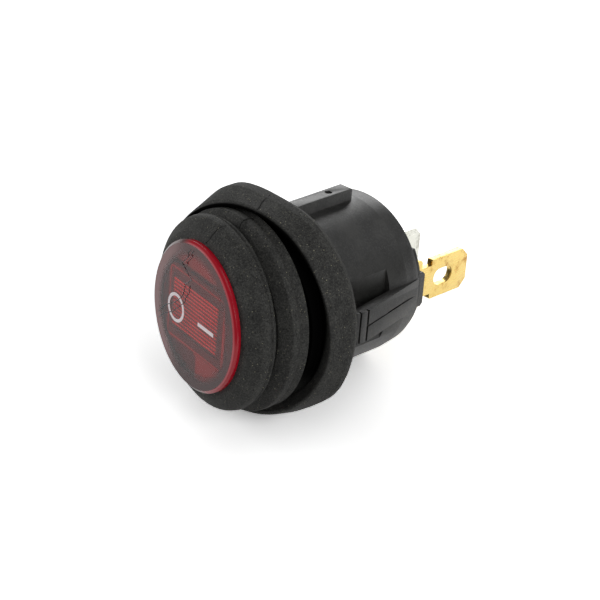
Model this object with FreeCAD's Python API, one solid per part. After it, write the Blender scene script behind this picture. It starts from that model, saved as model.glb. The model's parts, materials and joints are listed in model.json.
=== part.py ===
"""Waterproof round rocker switch for a round panel hole, in millimetres.

The switch axis is Y. The red face looks towards -Y, the tabs point towards +Y and the key rib is
on top, +Z. The origin is on the axis, in the plane where the rubber flange seats on the panel.
The rocker turns about Z. It stands as stored: the O side, at -X, is pressed in.
"""
import FreeCAD
import Part
import math
import os

from FreeCAD import Vector

# Housing barrel, bezel and the panel seat
BARREL_R = 9.8
BARREL_LENGTH = 14.6
BARREL_REAR_R = 9.55
REAR_TAPER_LENGTH = 2.2
BORE_R = 8.1
SOCKET_R = 8.9
SOCKET_DEPTH = 2.7
BEZEL_R = 11.4
BEZEL_THICKNESS = 1.5
SEAT_LIP = 0.7
OVERCUT = 1.0

# Key rib
KEY_WIDTH = 1.7
KEY_TOP = 11.25
KEY_LENGTH = 11.3
KEY_DIMPLE_R = 0.45
KEY_DIMPLE_DEPTH = 0.2
KEY_DIMPLE_FROM_END = 3.2
EDGE_SOFTENING = 0.25

# Snap wings and the pockets that free them
WING_WIDTH = 3.9
WING_TIP_X = 11.75
WING_ROOT_X = 9.5
WING_FRONT_Y = 1.65
WING_THICKNESS = 1.1
TOOTH_STEP = 0.4
TOOTH_GROOVE = 0.3
TOOTH_FIRST_Y = 2.0
TOOTH_SECOND_Y = 3.25
SLIT_WIDTH = 0.22
SLIT_DEPTH = 0.5
SLIT_SHALLOW_DEPTH = 0.12
SLIT_DEEP_FROM_Y = 8.0
POCKET_FLOOR_X = 8.75
POCKET_END_Y = 9.3
POCKET_HALF_HEIGHT = 4.4

# Rocker pivot
PIVOT_FORWARD = 2.0
HALF_THROW = 13.3
TRUNNION_R = 1.25
TRUNNION_CLEARANCE = 0.05
LUG_HALF_WIDTH = 2.6
LUG_WALL = 0.6
LUG_LENGTH = 1.85

# Boot flange: a band round the bezel, a lip in front of it and a valley between lip and bellows
BOOT_FLANGE_R = 13.4
BOOT_FLANGE_BACK_R = 13.05
SEAL_LAND_R = 12.0
SEAL_RELIEF = 0.15
FLANGE_BACK_ROUND = 0.6
FLANGE_BAND_FORWARD = 2.0
FLANGE_BAND_ROUND = 0.8
BOOT_SHOULDER_R = 12.75
BOOT_SHOULDER_FORWARD = 4.55
BOOT_CREST_R = 12.45
BOOT_CREST_FORWARD = 5.0
BOOT_LIP_THICKNESS = 0.35
VALLEY_OUTER_R = 12.0
VALLEY_INNER_R = 10.75
VALLEY_FLOOR = 3.3
BOOT_COLLAR_FORWARD = 4.65
BOOT_BORE_R = 9.85
BOOT_CHAMBER_R = 10.2
BOOT_CHAMBER_DEPTH = 4.1

# Boot's bellows rings, placed by their distance in front of the pivot
RING_TWO_TILT = 8.5
RING_TWO_R = 11.85
RING_TWO_FRONT = 5.1
RING_TWO_BACK = 2.15
RING_TWO_SLOPE = 0.45
RING_TWO_BAND = 1.3
RING_TWO_INNER_R = 8.95
RING_TWO_ROOT = 1.5
RING_ONE_R = 11.4
RING_ONE_BACK = 4.95
RING_ONE_BAND = 0.95
RING_ONE_BAND_TAPER = 0.15
RING_ONE_ROUND = 1.2
RING_ONE_INNER_R = 8.8
RING_ROUND = 0.3
LIP_OVERHANG = 0.9
LIP_DROP = 0.25
LIP_ROUND = 0.8
RIM_FORWARD = 0.38
RIM_INSET = 0.2
RIM_WAIST_FORWARD = 0.68
RIM_WAIST_INSET = 0.42
RIM_BACK_INSET = 0.4
RIM_ROUND = 0.13
RUBBER_WALL = 1.0
RUBBER_LIP = 0.9

# Lens
LENS_R = 8.9
LENS_FACE = 9.1
LENS_RIM = 0.85
LENS_BEVEL = 0.35
LENS_SPIGOT_R = 7.8
LENS_SPIGOT_WALL = 0.7
FIT_GAP = 0.05

# Rocker
ROCKER_PLATE_R = 8.5
ROCKER_PLATE_THICKNESS = 0.85
FACE_HALF_WIDTH = 6.2
FACE_HALF_HEIGHT = 4.75
FACE_CORNER_R = 1.0
SKIRT_HALF_WIDTH = 6.0
SKIRT_HALF_HEIGHT = 4.2
SKIRT_END = 1.2
FLOOR_THICKNESS = 0.8
EAR_HALF_WIDTH = 1.9
EAR_ROUND = 1.5
POST_R = 2.3
POST_LENGTH = 5.2
POST_BORE_R = 1.55
POST_BORE_END = 0.6

# Window
WINDOW_WIDTH = 10.3
WINDOW_HEIGHT = 6.6
WINDOW_THICKNESS = 1.2
WINDOW_LEDGE = 0.6
RIB_COUNT = 14
RIB_DEPTH = 0.14

# Lamp and its circuit inside the rocker
LAMP_R = 1.5
LAMP_LENGTH = 5.2
LAMP_ROUND = 0.6
LAMP_Z = -1.0
LAMP_FORWARD = 4.4
CRADLE_WIDTH = 0.6
CRADLE_HALF_HEIGHT = 1.2
CRADLE_SPACING = 3.0
LEAD_R = 0.22
PIN_X = 3.6
PIN_R = 0.5
PIN_HEAD_R = 0.85
PIN_HEAD_HEIGHT = 0.45
RESISTOR_R = 0.7
RESISTOR_LENGTH = 2.6
RESISTOR_Z = 1.35

# Plunger and its spring
PLUNGER_R = 1.5
PLUNGER_LENGTH = 3.8
PLUNGER_REACH = 7.0
PLUNGER_TIP_R = 0.8
PLUNGER_TIP_LENGTH = 1.3
PLUNGER_TIP_ROUND = 0.5
PLUNGER_SHOULDER_ROUND = 0.2
SPRING_WIRE_R = 0.2
SPRING_TURNS = 4
SPRING_WIRE_SIDES = 6

# Contact arm and contacts
ARM_THICKNESS = 0.5
ARM_HALF_LENGTH = 6.1
ARM_WIDTH = 3.6
ARM_BEND = 6.0
ARM_TOP_GAP = 0.12
ARM_SLOT_LENGTH = 1.5
ARM_SLOT_WIDTH = 1.2
ARM_SLOT_CLEARANCE = 0.15
ARM_SEAT_GAP = 0.08
CONTACT_X = 5.1
CONTACT_R = 1.1
CONTACT_THICKNESS = 0.45
CONTACT_STEM_R = 0.5
CONTACT_CLOSED_GAP = 0.08

# Terminals
TAB_THICKNESS = 0.8
TAB_PITCH = 7.5
TAB_HALF_WIDTH = 2.55
TAB_END = 25.25
TAB_START = 18.75
TAB_CHAMFER = 1.0
TAB_CORNER_ROUND = 0.2
TAB_HOLE_LENGTH = 3.3
TAB_HOLE_WIDTH = 2.1
TAB_HOLE_FROM_END = 4.35
TAB_HOLE_END_SHARE = 0.999
NECK_HALF_WIDTH = 1.85
SHOULDER_HALF_WIDTH = 3.1
SHOULDER_END = 17.0
SHOULDER_CORNER_R = 0.6
TONGUE_HALF_WIDTH = 1.1
CONTACT_TAB_REACH = 1.3
LAMP_TONGUE_TOP = 6.0

# Terminal base
BLOCK_HALF_HEIGHT = 5.0
BLOCK_R = 9.3
BLOCK_HEIGHT = 0.7
END_TAB_HALF_WIDTH = 2.2
END_TAB_THICKNESS = 0.75
END_TAB_OUTER_X = 8.95
END_TAB_HEIGHT = 1.0
END_TAB_CHAMFER = 0.35
STOP_POST_WIDTH = 1.0

PIVOT_Y = -PIVOT_FORWARD
PIVOT = Vector(0, PIVOT_Y, 0)
AXIS_X = Vector(1, 0, 0)
AXIS_Y = Vector(0, 1, 0)
AXIS_Z = Vector(0, 0, 1)
LENS_BACK = LENS_FACE - LENS_RIM
PLATE_FACE = LENS_BACK - RUBBER_LIP
PLATE_BACK = PLATE_FACE - ROCKER_PLATE_THICKNESS
FACE_FRONT = LENS_BACK - FIT_GAP
WINDOW_BACK = FACE_FRONT - WINDOW_THICKNESS
FLOOR_FRONT = SKIRT_END + FLOOR_THICKNESS
LUG_FRONT_Y = PIVOT_Y - LUG_LENGTH
BEZEL_BACK_Y = -SEAT_LIP
BEZEL_FRONT_Y = BEZEL_BACK_Y - BEZEL_THICKNESS
SOCKET_Y = BARREL_LENGTH - SOCKET_DEPTH
ARM_TOP = PLUNGER_REACH + ARM_TOP_GAP
ARM_PIVOT = ARM_TOP + ARM_THICKNESS
FIXED_CONTACT_FACE = ARM_PIVOT + CONTACT_THICKNESS + CONTACT_CLOSED_GAP
CONTACT_TAB_FACE = FIXED_CONTACT_FACE + CONTACT_THICKNESS
BLOCK_END_Y = BARREL_LENGTH + BLOCK_HEIGHT


def rounded_wire(corners, to_point):
    """A closed wire through corners (u, v, radius), each corner rounded by its radius."""
    edges = []
    marks = []
    count = len(corners)
    for i, (u, v, radius) in enumerate(corners):
        corner = to_point(u, v)
        before = to_point(*corners[i - 1][:2]) - corner
        after = to_point(*corners[(i + 1) % count][:2]) - corner
        before.normalize()
        after.normalize()
        if radius <= 0:
            marks.append((corner, None, corner))
            continue
        half = before.getAngle(after) / 2
        middle = before + after
        middle.normalize()
        cut = radius / math.tan(half)
        bulge = radius / math.sin(half) - radius
        marks.append((corner + before * cut, corner + middle * bulge, corner + after * cut))
    for i, (start, arc_point, end) in enumerate(marks):
        previous_end = marks[i - 1][2]
        if previous_end.distanceToPoint(start) > 1e-6:
            edges.append(Part.LineSegment(previous_end, start).toShape())
        if arc_point is not None:
            edges.append(Part.Arc(start, arc_point, end).toShape())
    return Part.Wire(edges)


def turned(corners):
    """A solid of revolution about Y from corners (radius from the axis, y, corner radius)."""
    wire = rounded_wire(corners, lambda u, v: Vector(u, v, 0))
    return Part.Face(wire).revolve(Vector(0, 0, 0), AXIS_Y, 360)


def plate_xy(corners, z_low, z_high):
    """A plate whose outline lies in the XY plane."""
    wire = rounded_wire(corners, lambda u, v: Vector(u, v, z_low))
    return Part.Face(wire).extrude(Vector(0, 0, z_high - z_low))


def plate_yz(corners, x_low, x_high):
    """A plate whose outline (y, z, corner radius) lies in the YZ plane."""
    wire = rounded_wire(corners, lambda u, v: Vector(x_low, u, v))
    return Part.Face(wire).extrude(Vector(x_high - x_low, 0, 0))


def plate_xz(corners, y_low, y_high):
    """A plate whose outline (x, z, corner radius) lies in the XZ plane."""
    wire = rounded_wire(corners, lambda u, v: Vector(u, y_low, v))
    return Part.Face(wire).extrude(Vector(0, y_high - y_low, 0))


def block(x, y, z):
    """A box from three (low, high) pairs."""
    size = [high - low for low, high in (x, y, z)]
    return Part.makeBox(size[0], size[1], size[2], Vector(x[0], y[0], z[0]))


def drum(radius, y_low, y_high, x=0.0, z=0.0):
    """A cylinder along Y."""
    return Part.makeCylinder(radius, y_high - y_low, Vector(x, y_low, z), AXIS_Y)


def rectangle(half_u, half_v, corner_r):
    """Corners of a centred rectangle."""
    return [(-half_u, -half_v, corner_r), (half_u, -half_v, corner_r),
            (half_u, half_v, corner_r), (-half_u, half_v, corner_r)]


def wire_run(points, radius):
    """A bent wire: straight round runs with a ball at each bend."""
    pieces = []
    for start, end in zip(points, points[1:]):
        run = end - start
        pieces.append(Part.makeCylinder(radius, run.Length, start, run))
    for bend in points[1:-1]:
        pieces.append(Part.makeSphere(radius, bend))
    return pieces[0].fuse(pieces[1:]).removeSplitter()


def on_rocker(shape, tilt=HALF_THROW):
    """Set a shape, drawn with the pivot at the origin, at the pivot with the O side in."""
    placed = shape.copy()
    placed.rotate(Vector(0, 0, 0), AXIS_Z, -tilt)
    placed.translate(PIVOT)
    return placed


def rocker_point(x, forward, z):
    """Where a point of the rocker, drawn with the pivot at the origin, stands at rest."""
    turn = math.radians(-HALF_THROW)
    y = -forward
    return Vector(x * math.cos(turn) - y * math.sin(turn),
                  x * math.sin(turn) + y * math.cos(turn) + PIVOT_Y, z)


def wing_outer_x(y):
    """The outer face of a snap wing, which rises from its root to its tip."""
    share = (BARREL_LENGTH - y) / (BARREL_LENGTH - TOOTH_SECOND_Y)
    return WING_ROOT_X + (WING_TIP_X - WING_ROOT_X) * min(share, 1.0)


def wing_strip(depth, y_front, z_half):
    """A strip along a wing's ramp, from its outer face down to a depth."""
    corners = [(WING_ROOT_X + OVERCUT, BARREL_LENGTH + OVERCUT, 0),
               (wing_outer_x(y_front) + OVERCUT, y_front, 0),
               (wing_outer_x(y_front) - depth, y_front, 0),
               (WING_ROOT_X - depth, BARREL_LENGTH + OVERCUT, 0)]
    return plate_xy(corners, -z_half, z_half)


def snap_wing():
    """The wing at +X: a ramped tongue with two stepped teeth and a slit down its middle."""
    half = WING_WIDTH / 2
    notch_x = WING_TIP_X - TOOTH_STEP
    inner_tip_x = WING_TIP_X - WING_THICKNESS
    corners = [(WING_ROOT_X, BARREL_LENGTH, 0),
               (WING_TIP_X, TOOTH_SECOND_Y + TOOTH_GROOVE, 0),
               (notch_x, TOOTH_SECOND_Y + TOOTH_GROOVE, 0),
               (notch_x, TOOTH_SECOND_Y, 0),
               (WING_TIP_X, TOOTH_SECOND_Y, 0),
               (WING_TIP_X, TOOTH_FIRST_Y + TOOTH_GROOVE, 0),
               (notch_x, TOOTH_FIRST_Y + TOOTH_GROOVE, 0),
               (notch_x, TOOTH_FIRST_Y, 0),
               (WING_TIP_X, TOOTH_FIRST_Y, 0),
               (WING_TIP_X - TOOTH_STEP / 2, WING_FRONT_Y, 0),
               (inner_tip_x, WING_FRONT_Y, 0),
               (wing_outer_x(POCKET_END_Y) - WING_THICKNESS, POCKET_END_Y, 0),
               (POCKET_FLOOR_X, POCKET_END_Y + WING_THICKNESS, 0),
               (SOCKET_R + FIT_GAP, SOCKET_Y, 0),
               (SOCKET_R + FIT_GAP, BARREL_LENGTH, 0)]
    wing = plate_xy(corners, -half, half)
    deep = wing_strip(SLIT_DEPTH, SLIT_DEEP_FROM_Y, SLIT_WIDTH / 2)
    shallow = wing_strip(SLIT_SHALLOW_DEPTH, TOOTH_SECOND_Y + TOOTH_GROOVE, SLIT_WIDTH / 2)
    return wing.cut([deep, shallow])


def key_rib():
    """The flat-topped rib on top of the barrel that keeps the switch from turning."""
    corners = [(0, BARREL_R - LUG_WALL, 0), (KEY_LENGTH, BARREL_R - LUG_WALL, 0),
               (KEY_LENGTH, KEY_TOP, EDGE_SOFTENING), (0, KEY_TOP, 0)]
    rib = plate_yz(corners, -KEY_WIDTH / 2, KEY_WIDTH / 2)
    dimple = Part.makeCylinder(KEY_DIMPLE_R, KEY_DIMPLE_DEPTH,
                               Vector(0, KEY_LENGTH - KEY_DIMPLE_FROM_END, KEY_TOP - KEY_DIMPLE_DEPTH))
    return rib.cut(dimple)


def housing():
    """The moulded barrel with its bezel, pivot lugs, key rib, pockets and snap wings."""
    barrel = turned([(BORE_R, BEZEL_FRONT_Y, 0), (BEZEL_R, BEZEL_FRONT_Y, EDGE_SOFTENING),
                     (BEZEL_R, BEZEL_BACK_Y, 0), (BARREL_R, BEZEL_BACK_Y, 0),
                     (BARREL_R, BARREL_LENGTH - REAR_TAPER_LENGTH, 0),
                     (BARREL_REAR_R, BARREL_LENGTH, 0), (SOCKET_R, BARREL_LENGTH, 0),
                     (SOCKET_R, SOCKET_Y, 0), (BORE_R, SOCKET_Y, 0)])
    lugs = drum(BARREL_R - FIT_GAP, LUG_FRONT_Y, BEZEL_BACK_Y).cut(
        drum(BORE_R, LUG_FRONT_Y - OVERCUT, BEZEL_BACK_Y + OVERCUT))
    lugs = lugs.common(block((-LUG_HALF_WIDTH, LUG_HALF_WIDTH), (LUG_FRONT_Y, BEZEL_BACK_Y),
                             (-BEZEL_R, BEZEL_R)))
    pocket = block((POCKET_FLOOR_X, BEZEL_R), (0, POCKET_END_Y), (-POCKET_HALF_HEIGHT, POCKET_HALF_HEIGHT))
    mirrored_pocket = pocket.mirror(Vector(0, 0, 0), AXIS_X)
    wing = snap_wing()
    body = barrel.fuse([lugs.Solids[0], lugs.Solids[1], key_rib()])
    body = body.cut([pocket, mirrored_pocket])
    body = body.fuse([wing, wing.mirror(Vector(0, 0, 0), AXIS_X)])
    pivot_hole = Part.makeCylinder(TRUNNION_R + TRUNNION_CLEARANCE, 4 * BEZEL_R,
                                   PIVOT - AXIS_Z * 2 * BEZEL_R, AXIS_Z)
    return body.cut(pivot_hole).removeSplitter()


def ring_rim(radius, back):
    """The back of a bellows ring: a waist, a second thin rim, and the root behind the groove."""
    return [(radius - RIM_WAIST_INSET, -back - RIM_WAIST_FORWARD, RIM_ROUND),
            (radius - RIM_INSET, -back - RIM_FORWARD, RIM_ROUND),
            (radius - RIM_BACK_INSET, -back, RIM_ROUND)]


def ring_root(inner_r, back, length):
    """The tube that joins a bellows ring to what lies behind it."""
    return [(inner_r + RUBBER_WALL, -back, 0), (inner_r + RUBBER_WALL, -back + length, 0),
            (0, -back + length, 0)]


def boot():
    """The rubber cap: a lipped flange round the bezel and two bellows rings that tilt."""
    flange = turned([(0, 0, 0), (BOOT_FLANGE_BACK_R, 0, 0),
                     (BOOT_FLANGE_R, -SEAT_LIP, FLANGE_BACK_ROUND),
                     (BOOT_FLANGE_R, -FLANGE_BAND_FORWARD, FLANGE_BAND_ROUND),
                     (BOOT_SHOULDER_R, -BOOT_SHOULDER_FORWARD, 0),
                     (BOOT_CREST_R, -BOOT_CREST_FORWARD, 0),
                     (BOOT_CREST_R - BOOT_LIP_THICKNESS, -BOOT_CREST_FORWARD, 0),
                     (VALLEY_OUTER_R, -VALLEY_FLOOR, 0),
                     (VALLEY_INNER_R, -VALLEY_FLOOR, 0),
                     (VALLEY_INNER_R, -BOOT_COLLAR_FORWARD, 0),
                     (0, -BOOT_COLLAR_FORWARD, 0)])
    ring_two = turned([(0, -RING_TWO_FRONT, 0),
                       (RING_TWO_INNER_R + RUBBER_WALL, -RING_TWO_FRONT, RIM_ROUND),
                       (RING_TWO_R, -RING_TWO_FRONT + RING_TWO_SLOPE, RING_ROUND),
                       (RING_TWO_R, -RING_TWO_FRONT + RING_TWO_SLOPE + RING_TWO_BAND, RING_ROUND)]
                      + ring_rim(RING_TWO_R, RING_TWO_BACK)
                      + ring_root(RING_TWO_INNER_R, RING_TWO_BACK, RING_TWO_ROOT))
    ring_one = turned([(0, -LENS_BACK, 0), (LENS_R, -LENS_BACK, 0),
                       (LENS_R + LIP_OVERHANG, -LENS_BACK + LIP_DROP, LIP_ROUND),
                       (RING_ONE_R - RING_ONE_BAND_TAPER, -RING_ONE_BACK - 2 * RING_ONE_BAND, RING_ONE_ROUND),
                       (RING_ONE_R, -RING_ONE_BACK - RING_ONE_BAND, RIM_ROUND)]
                      + ring_rim(RING_ONE_R, RING_ONE_BACK)
                      + ring_root(RING_ONE_INNER_R, RING_ONE_BACK, 2 * RUBBER_LIP))
    outside = flange.fuse([on_rocker(ring_two, RING_TWO_TILT), on_rocker(ring_one)])
    bezel_room = turned([(0, OVERCUT, 0), (SEAL_LAND_R, OVERCUT, 0), (SEAL_LAND_R, -SEAL_RELIEF, 0),
                         (BOOT_BORE_R, -SEAL_RELIEF, 0), (BOOT_BORE_R, BEZEL_BACK_Y, 0),
                         (BEZEL_R + FIT_GAP, BEZEL_BACK_Y, 0),
                         (BEZEL_R + FIT_GAP, BEZEL_FRONT_Y - FIT_GAP, 0),
                         (BOOT_CHAMBER_R, BEZEL_FRONT_Y - FIT_GAP, 0),
                         (BOOT_CHAMBER_R, -BOOT_CHAMBER_DEPTH, 0), (0, -BOOT_CHAMBER_DEPTH, 0)])
    ring_two_room = drum(RING_TWO_INNER_R, -RING_TWO_FRONT - RING_ROUND, 0)
    ring_one_room = drum(RING_ONE_INNER_R, -PLATE_FACE, -RING_ONE_BACK + 2 * RUBBER_WALL)
    lens_opening = drum(LENS_SPIGOT_R + FIT_GAP, -LENS_BACK - OVERCUT, 0)
    rooms = [bezel_room, on_rocker(ring_two_room, RING_TWO_TILT), on_rocker(ring_one_room),
             on_rocker(lens_opening)]
    return outside.cut(rooms).removeSplitter()


def lens():
    """The red disc: a bevelled face and a ring behind it that plugs into the boot."""
    outer = turned([(0, -LENS_FACE, 0), (LENS_R - LENS_BEVEL, -LENS_FACE, 0),
                    (LENS_R, -LENS_FACE + LENS_BEVEL, 0), (LENS_R, -LENS_BACK, 0),
                    (LENS_SPIGOT_R, -LENS_BACK, 0), (LENS_SPIGOT_R, -PLATE_FACE, 0),
                    (LENS_SPIGOT_R - LENS_SPIGOT_WALL, -PLATE_FACE, 0),
                    (LENS_SPIGOT_R - LENS_SPIGOT_WALL, -LENS_BACK, 0), (0, -LENS_BACK, 0)])
    return on_rocker(outer)


def rocker_ear():
    """The ear at +Z with its trunnion."""
    end = TRUNNION_R + LUG_WALL - FIT_GAP
    tilt = math.radians(HALF_THROW)
    widest = EAR_HALF_WIDTH / math.cos(tilt) + LUG_LENGTH * math.tan(tilt)
    outer_z = math.sqrt((BORE_R - 2 * FIT_GAP) ** 2 - widest ** 2)
    corners = [(-EAR_HALF_WIDTH, -PLATE_BACK - FIT_GAP, 0), (EAR_HALF_WIDTH, -PLATE_BACK - FIT_GAP, 0),
               (EAR_HALF_WIDTH, end, EAR_ROUND), (-EAR_HALF_WIDTH, end, EAR_ROUND)]
    ear = plate_xy(corners, SKIRT_HALF_HEIGHT - FLOOR_THICKNESS, outer_z)
    trunnion = Part.makeCylinder(TRUNNION_R, BARREL_R - 2 * FIT_GAP - SKIRT_HALF_HEIGHT,
                                 Vector(0, 0, SKIRT_HALF_HEIGHT), AXIS_Z)
    return ear.fuse(trunnion)


def rocker():
    """The black carrier: face frame, plate, hollow skirt, ears with trunnions, plunger post."""
    face = plate_xz(rectangle(FACE_HALF_WIDTH, FACE_HALF_HEIGHT, FACE_CORNER_R), -FACE_FRONT, -PLATE_FACE)
    face = face.common(drum(LENS_SPIGOT_R - LENS_SPIGOT_WALL - FIT_GAP, -FACE_FRONT, -PLATE_FACE))
    plate = drum(ROCKER_PLATE_R, -PLATE_FACE, -PLATE_BACK)
    skirt = plate_xz(rectangle(SKIRT_HALF_WIDTH, SKIRT_HALF_HEIGHT, FACE_CORNER_R), -PLATE_BACK, -SKIRT_END)
    post = drum(POST_R, -SKIRT_END, POST_LENGTH)
    ear = rocker_ear()
    body = plate.fuse([face, skirt, post, ear, ear.mirror(Vector(0, 0, 0), AXIS_Z)])
    window_seat = block((-WINDOW_WIDTH / 2, WINDOW_WIDTH / 2), (-FACE_FRONT - OVERCUT, -WINDOW_BACK),
                        (-WINDOW_HEIGHT / 2, WINDOW_HEIGHT / 2))
    lamp_room = block((-WINDOW_WIDTH / 2 + WINDOW_LEDGE, WINDOW_WIDTH / 2 - WINDOW_LEDGE),
                      (-WINDOW_BACK - OVERCUT, -FLOOR_FRONT),
                      (-WINDOW_HEIGHT / 2 + WINDOW_LEDGE, WINDOW_HEIGHT / 2 - WINDOW_LEDGE))
    post_bore = drum(POST_BORE_R, -POST_BORE_END, POST_LENGTH + OVERCUT)
    pin_holes = [drum(PIN_R, -FLOOR_FRONT - OVERCUT, -SKIRT_END + OVERCUT, x, z)
                 for x, z in ((-PIN_X, LAMP_Z), (PIN_X, RESISTOR_Z))]
    body = body.cut([window_seat, lamp_room, post_bore] + pin_holes)
    cradles = []
    for side in (-1, 1):
        x = side * CRADLE_SPACING / 2
        cradle = block((x - CRADLE_WIDTH / 2, x + CRADLE_WIDTH / 2), (-LAMP_FORWARD, -FLOOR_FRONT),
                       (LAMP_Z - CRADLE_HALF_HEIGHT, LAMP_Z + CRADLE_HALF_HEIGHT))
        lamp_bed = Part.makeCylinder(LAMP_R + FIT_GAP, 2 * LAMP_LENGTH,
                                     Vector(-LAMP_LENGTH, -LAMP_FORWARD, LAMP_Z), AXIS_X)
        cradles.append(cradle.cut(lamp_bed))
    return on_rocker(body.fuse(cradles).removeSplitter())


def window():
    """The red light window: a flat plate with fine ribs across its face."""
    half_width = WINDOW_WIDTH / 2 - FIT_GAP
    half_height = WINDOW_HEIGHT / 2 - FIT_GAP
    pitch = 2 * half_height / RIB_COUNT
    corners = [(-WINDOW_BACK, -half_height), (-FACE_FRONT + RIB_DEPTH, -half_height)]
    for i in range(RIB_COUNT):
        corners.append((-FACE_FRONT, -half_height + (i + 0.5) * pitch))
        corners.append((-FACE_FRONT + RIB_DEPTH, -half_height + (i + 1) * pitch))
    corners.append((-WINDOW_BACK, half_height))
    return on_rocker(plate_yz([(y, z, 0) for y, z in corners], -half_width, half_width))


def lamp():
    """The lamp across the rocker's hollow, with one lead to its pin and one to the resistor."""
    glass = Part.makeCylinder(LAMP_R, LAMP_LENGTH, Vector(-LAMP_LENGTH / 2, -LAMP_FORWARD, LAMP_Z), AXIS_X)
    glass = glass.makeFillet(LAMP_ROUND, [e for e in glass.Edges if e.Closed and e.Vertexes[0].X > 0])
    end = LAMP_LENGTH / 2
    pin_lead = wire_run([Vector(-end + LEAD_R, -LAMP_FORWARD, LAMP_Z), Vector(-PIN_X, -LAMP_FORWARD, LAMP_Z),
                         Vector(-PIN_X, -FLOOR_FRONT, LAMP_Z)], LEAD_R)
    resistor_lead = wire_run([Vector(end - LEAD_R, -LAMP_FORWARD, LAMP_Z),
                              Vector(PIN_X, -LAMP_FORWARD, LAMP_Z)], LEAD_R)
    return on_rocker(glass.fuse([pin_lead, resistor_lead]).removeSplitter())


def lamp_resistor():
    """The resistor standing on the ground pin, its top lead bent over to the lamp's lead."""
    low = -FLOOR_FRONT - 2 * LEAD_R
    body = drum(RESISTOR_R, low - RESISTOR_LENGTH, low, PIN_X, RESISTOR_Z)
    foot = wire_run([Vector(PIN_X, low - LEAD_R, RESISTOR_Z), Vector(PIN_X, -FLOOR_FRONT, RESISTOR_Z)],
                    LEAD_R)
    top = low - RESISTOR_LENGTH - 2 * LEAD_R
    head = wire_run([Vector(PIN_X, low - RESISTOR_LENGTH + LEAD_R, RESISTOR_Z),
                     Vector(PIN_X, top, RESISTOR_Z), Vector(PIN_X, top, LAMP_Z),
                     Vector(PIN_X, -LAMP_FORWARD - LEAD_R, LAMP_Z)], LEAD_R)
    return on_rocker(body.fuse([foot, head]).removeSplitter())


def lamp_pin(x, z):
    """A contact rivet through the rocker's floor."""
    shank = drum(PIN_R - FIT_GAP, -FLOOR_FRONT, -SKIRT_END, x, z)
    head = drum(PIN_HEAD_R, -SKIRT_END, -SKIRT_END + PIN_HEAD_HEIGHT, x, z)
    return on_rocker(shank.fuse(head).removeSplitter())


def plunger():
    """The plunger: a pin that slides in the post, with a rounded nose."""
    back = PLUNGER_REACH - PLUNGER_LENGTH
    shoulder = PLUNGER_REACH - PLUNGER_TIP_LENGTH
    pin = turned([(0, back, 0), (PLUNGER_R, back, 0), (PLUNGER_R, shoulder, PLUNGER_SHOULDER_ROUND),
                  (PLUNGER_TIP_R, PLUNGER_REACH, PLUNGER_TIP_ROUND), (0, PLUNGER_REACH, 0)])
    return on_rocker(pin)


def plunger_spring():
    """The coil spring between the post's blind end and the plunger, wound in tilted half turns."""
    low = -POST_BORE_END + SPRING_WIRE_R
    high = PLUNGER_REACH - PLUNGER_LENGTH - SPRING_WIRE_R
    mean_r = POST_BORE_R - SPRING_WIRE_R - 2 * FIT_GAP
    rise = (high - low) / (2 * SPRING_TURNS)
    section = [Vector(SPRING_WIRE_R, 0, 0)]
    for i in range(SPRING_WIRE_SIDES):
        angle = 2 * math.pi * (i + 1) / SPRING_WIRE_SIDES
        section.append(Vector(math.cos(angle), math.sin(angle), 0) * SPRING_WIRE_R)
    coil = []
    for i in range(2 * SPRING_TURNS):
        side = 1 if i % 2 == 0 else -1
        start = Vector(side * mean_r, low + i * rise, 0)
        centre = Vector(0, low + (i + 0.5) * rise, 0)
        wire = Part.Face(Part.makePolygon([start + point for point in section]))
        coil.append(wire.revolve(centre, Vector(side * rise / 2, mean_r, 0), 180))
    return on_rocker(coil[0].fuse(coil[1:]).removeSplitter())


def arm_profile(half_length, top, bottom):
    """The arm's gull-wing side outline between two heights at its middle."""
    rise = half_length * math.tan(math.radians(ARM_BEND))
    return [(0, top, 0), (half_length, top - rise, 0), (half_length, bottom - rise, 0),
            (0, bottom, 0), (-half_length, bottom - rise, 0), (-half_length, top - rise, 0)]


def on_arm(shape):
    """Set a shape, drawn with the arm's pivot at the origin, with the arm's +X half pressed."""
    placed = shape.copy()
    placed.rotate(Vector(0, 0, 0), AXIS_Z, ARM_BEND)
    placed.translate(Vector(0, PIVOT_Y + ARM_PIVOT, 0))
    return placed


def contact_arm():
    """The see-saw blade, bent up at both ends, with a slot that sits over the common terminal."""
    arm = plate_xy(arm_profile(ARM_HALF_LENGTH, -ARM_THICKNESS, 0), -ARM_WIDTH / 2, ARM_WIDTH / 2)
    slot = block((-ARM_SLOT_LENGTH / 2, ARM_SLOT_LENGTH / 2), (-ARM_THICKNESS - OVERCUT, OVERCUT),
                 (-ARM_SLOT_WIDTH / 2, ARM_SLOT_WIDTH / 2))
    rivet_hole = contact_stem(CONTACT_STEM_R)
    return on_arm(arm.cut([slot, rivet_hole]).removeSplitter())


def contact_stem(radius):
    """A round stem square to the arm's -X half at the contact."""
    stem = Part.makeCylinder(radius, 4 * ARM_THICKNESS, Vector(-CONTACT_X, -2 * ARM_THICKNESS, 0), AXIS_Y)
    stem.rotate(Vector(0, 0, 0), AXIS_Z, ARM_BEND)
    return stem


def moving_contact():
    """The silver rivet at the arm's -X end."""
    head = Part.makeCylinder(CONTACT_R, CONTACT_THICKNESS, Vector(-CONTACT_X, 0, 0), AXIS_Y)
    stem = Part.makeCylinder(CONTACT_STEM_R - FIT_GAP, ARM_THICKNESS,
                             Vector(-CONTACT_X, -ARM_THICKNESS, 0), AXIS_Y)
    rivet = head.fuse(stem).removeSplitter()
    rivet.rotate(Vector(0, 0, 0), AXIS_Z, ARM_BEND)
    return on_arm(rivet)


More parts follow.
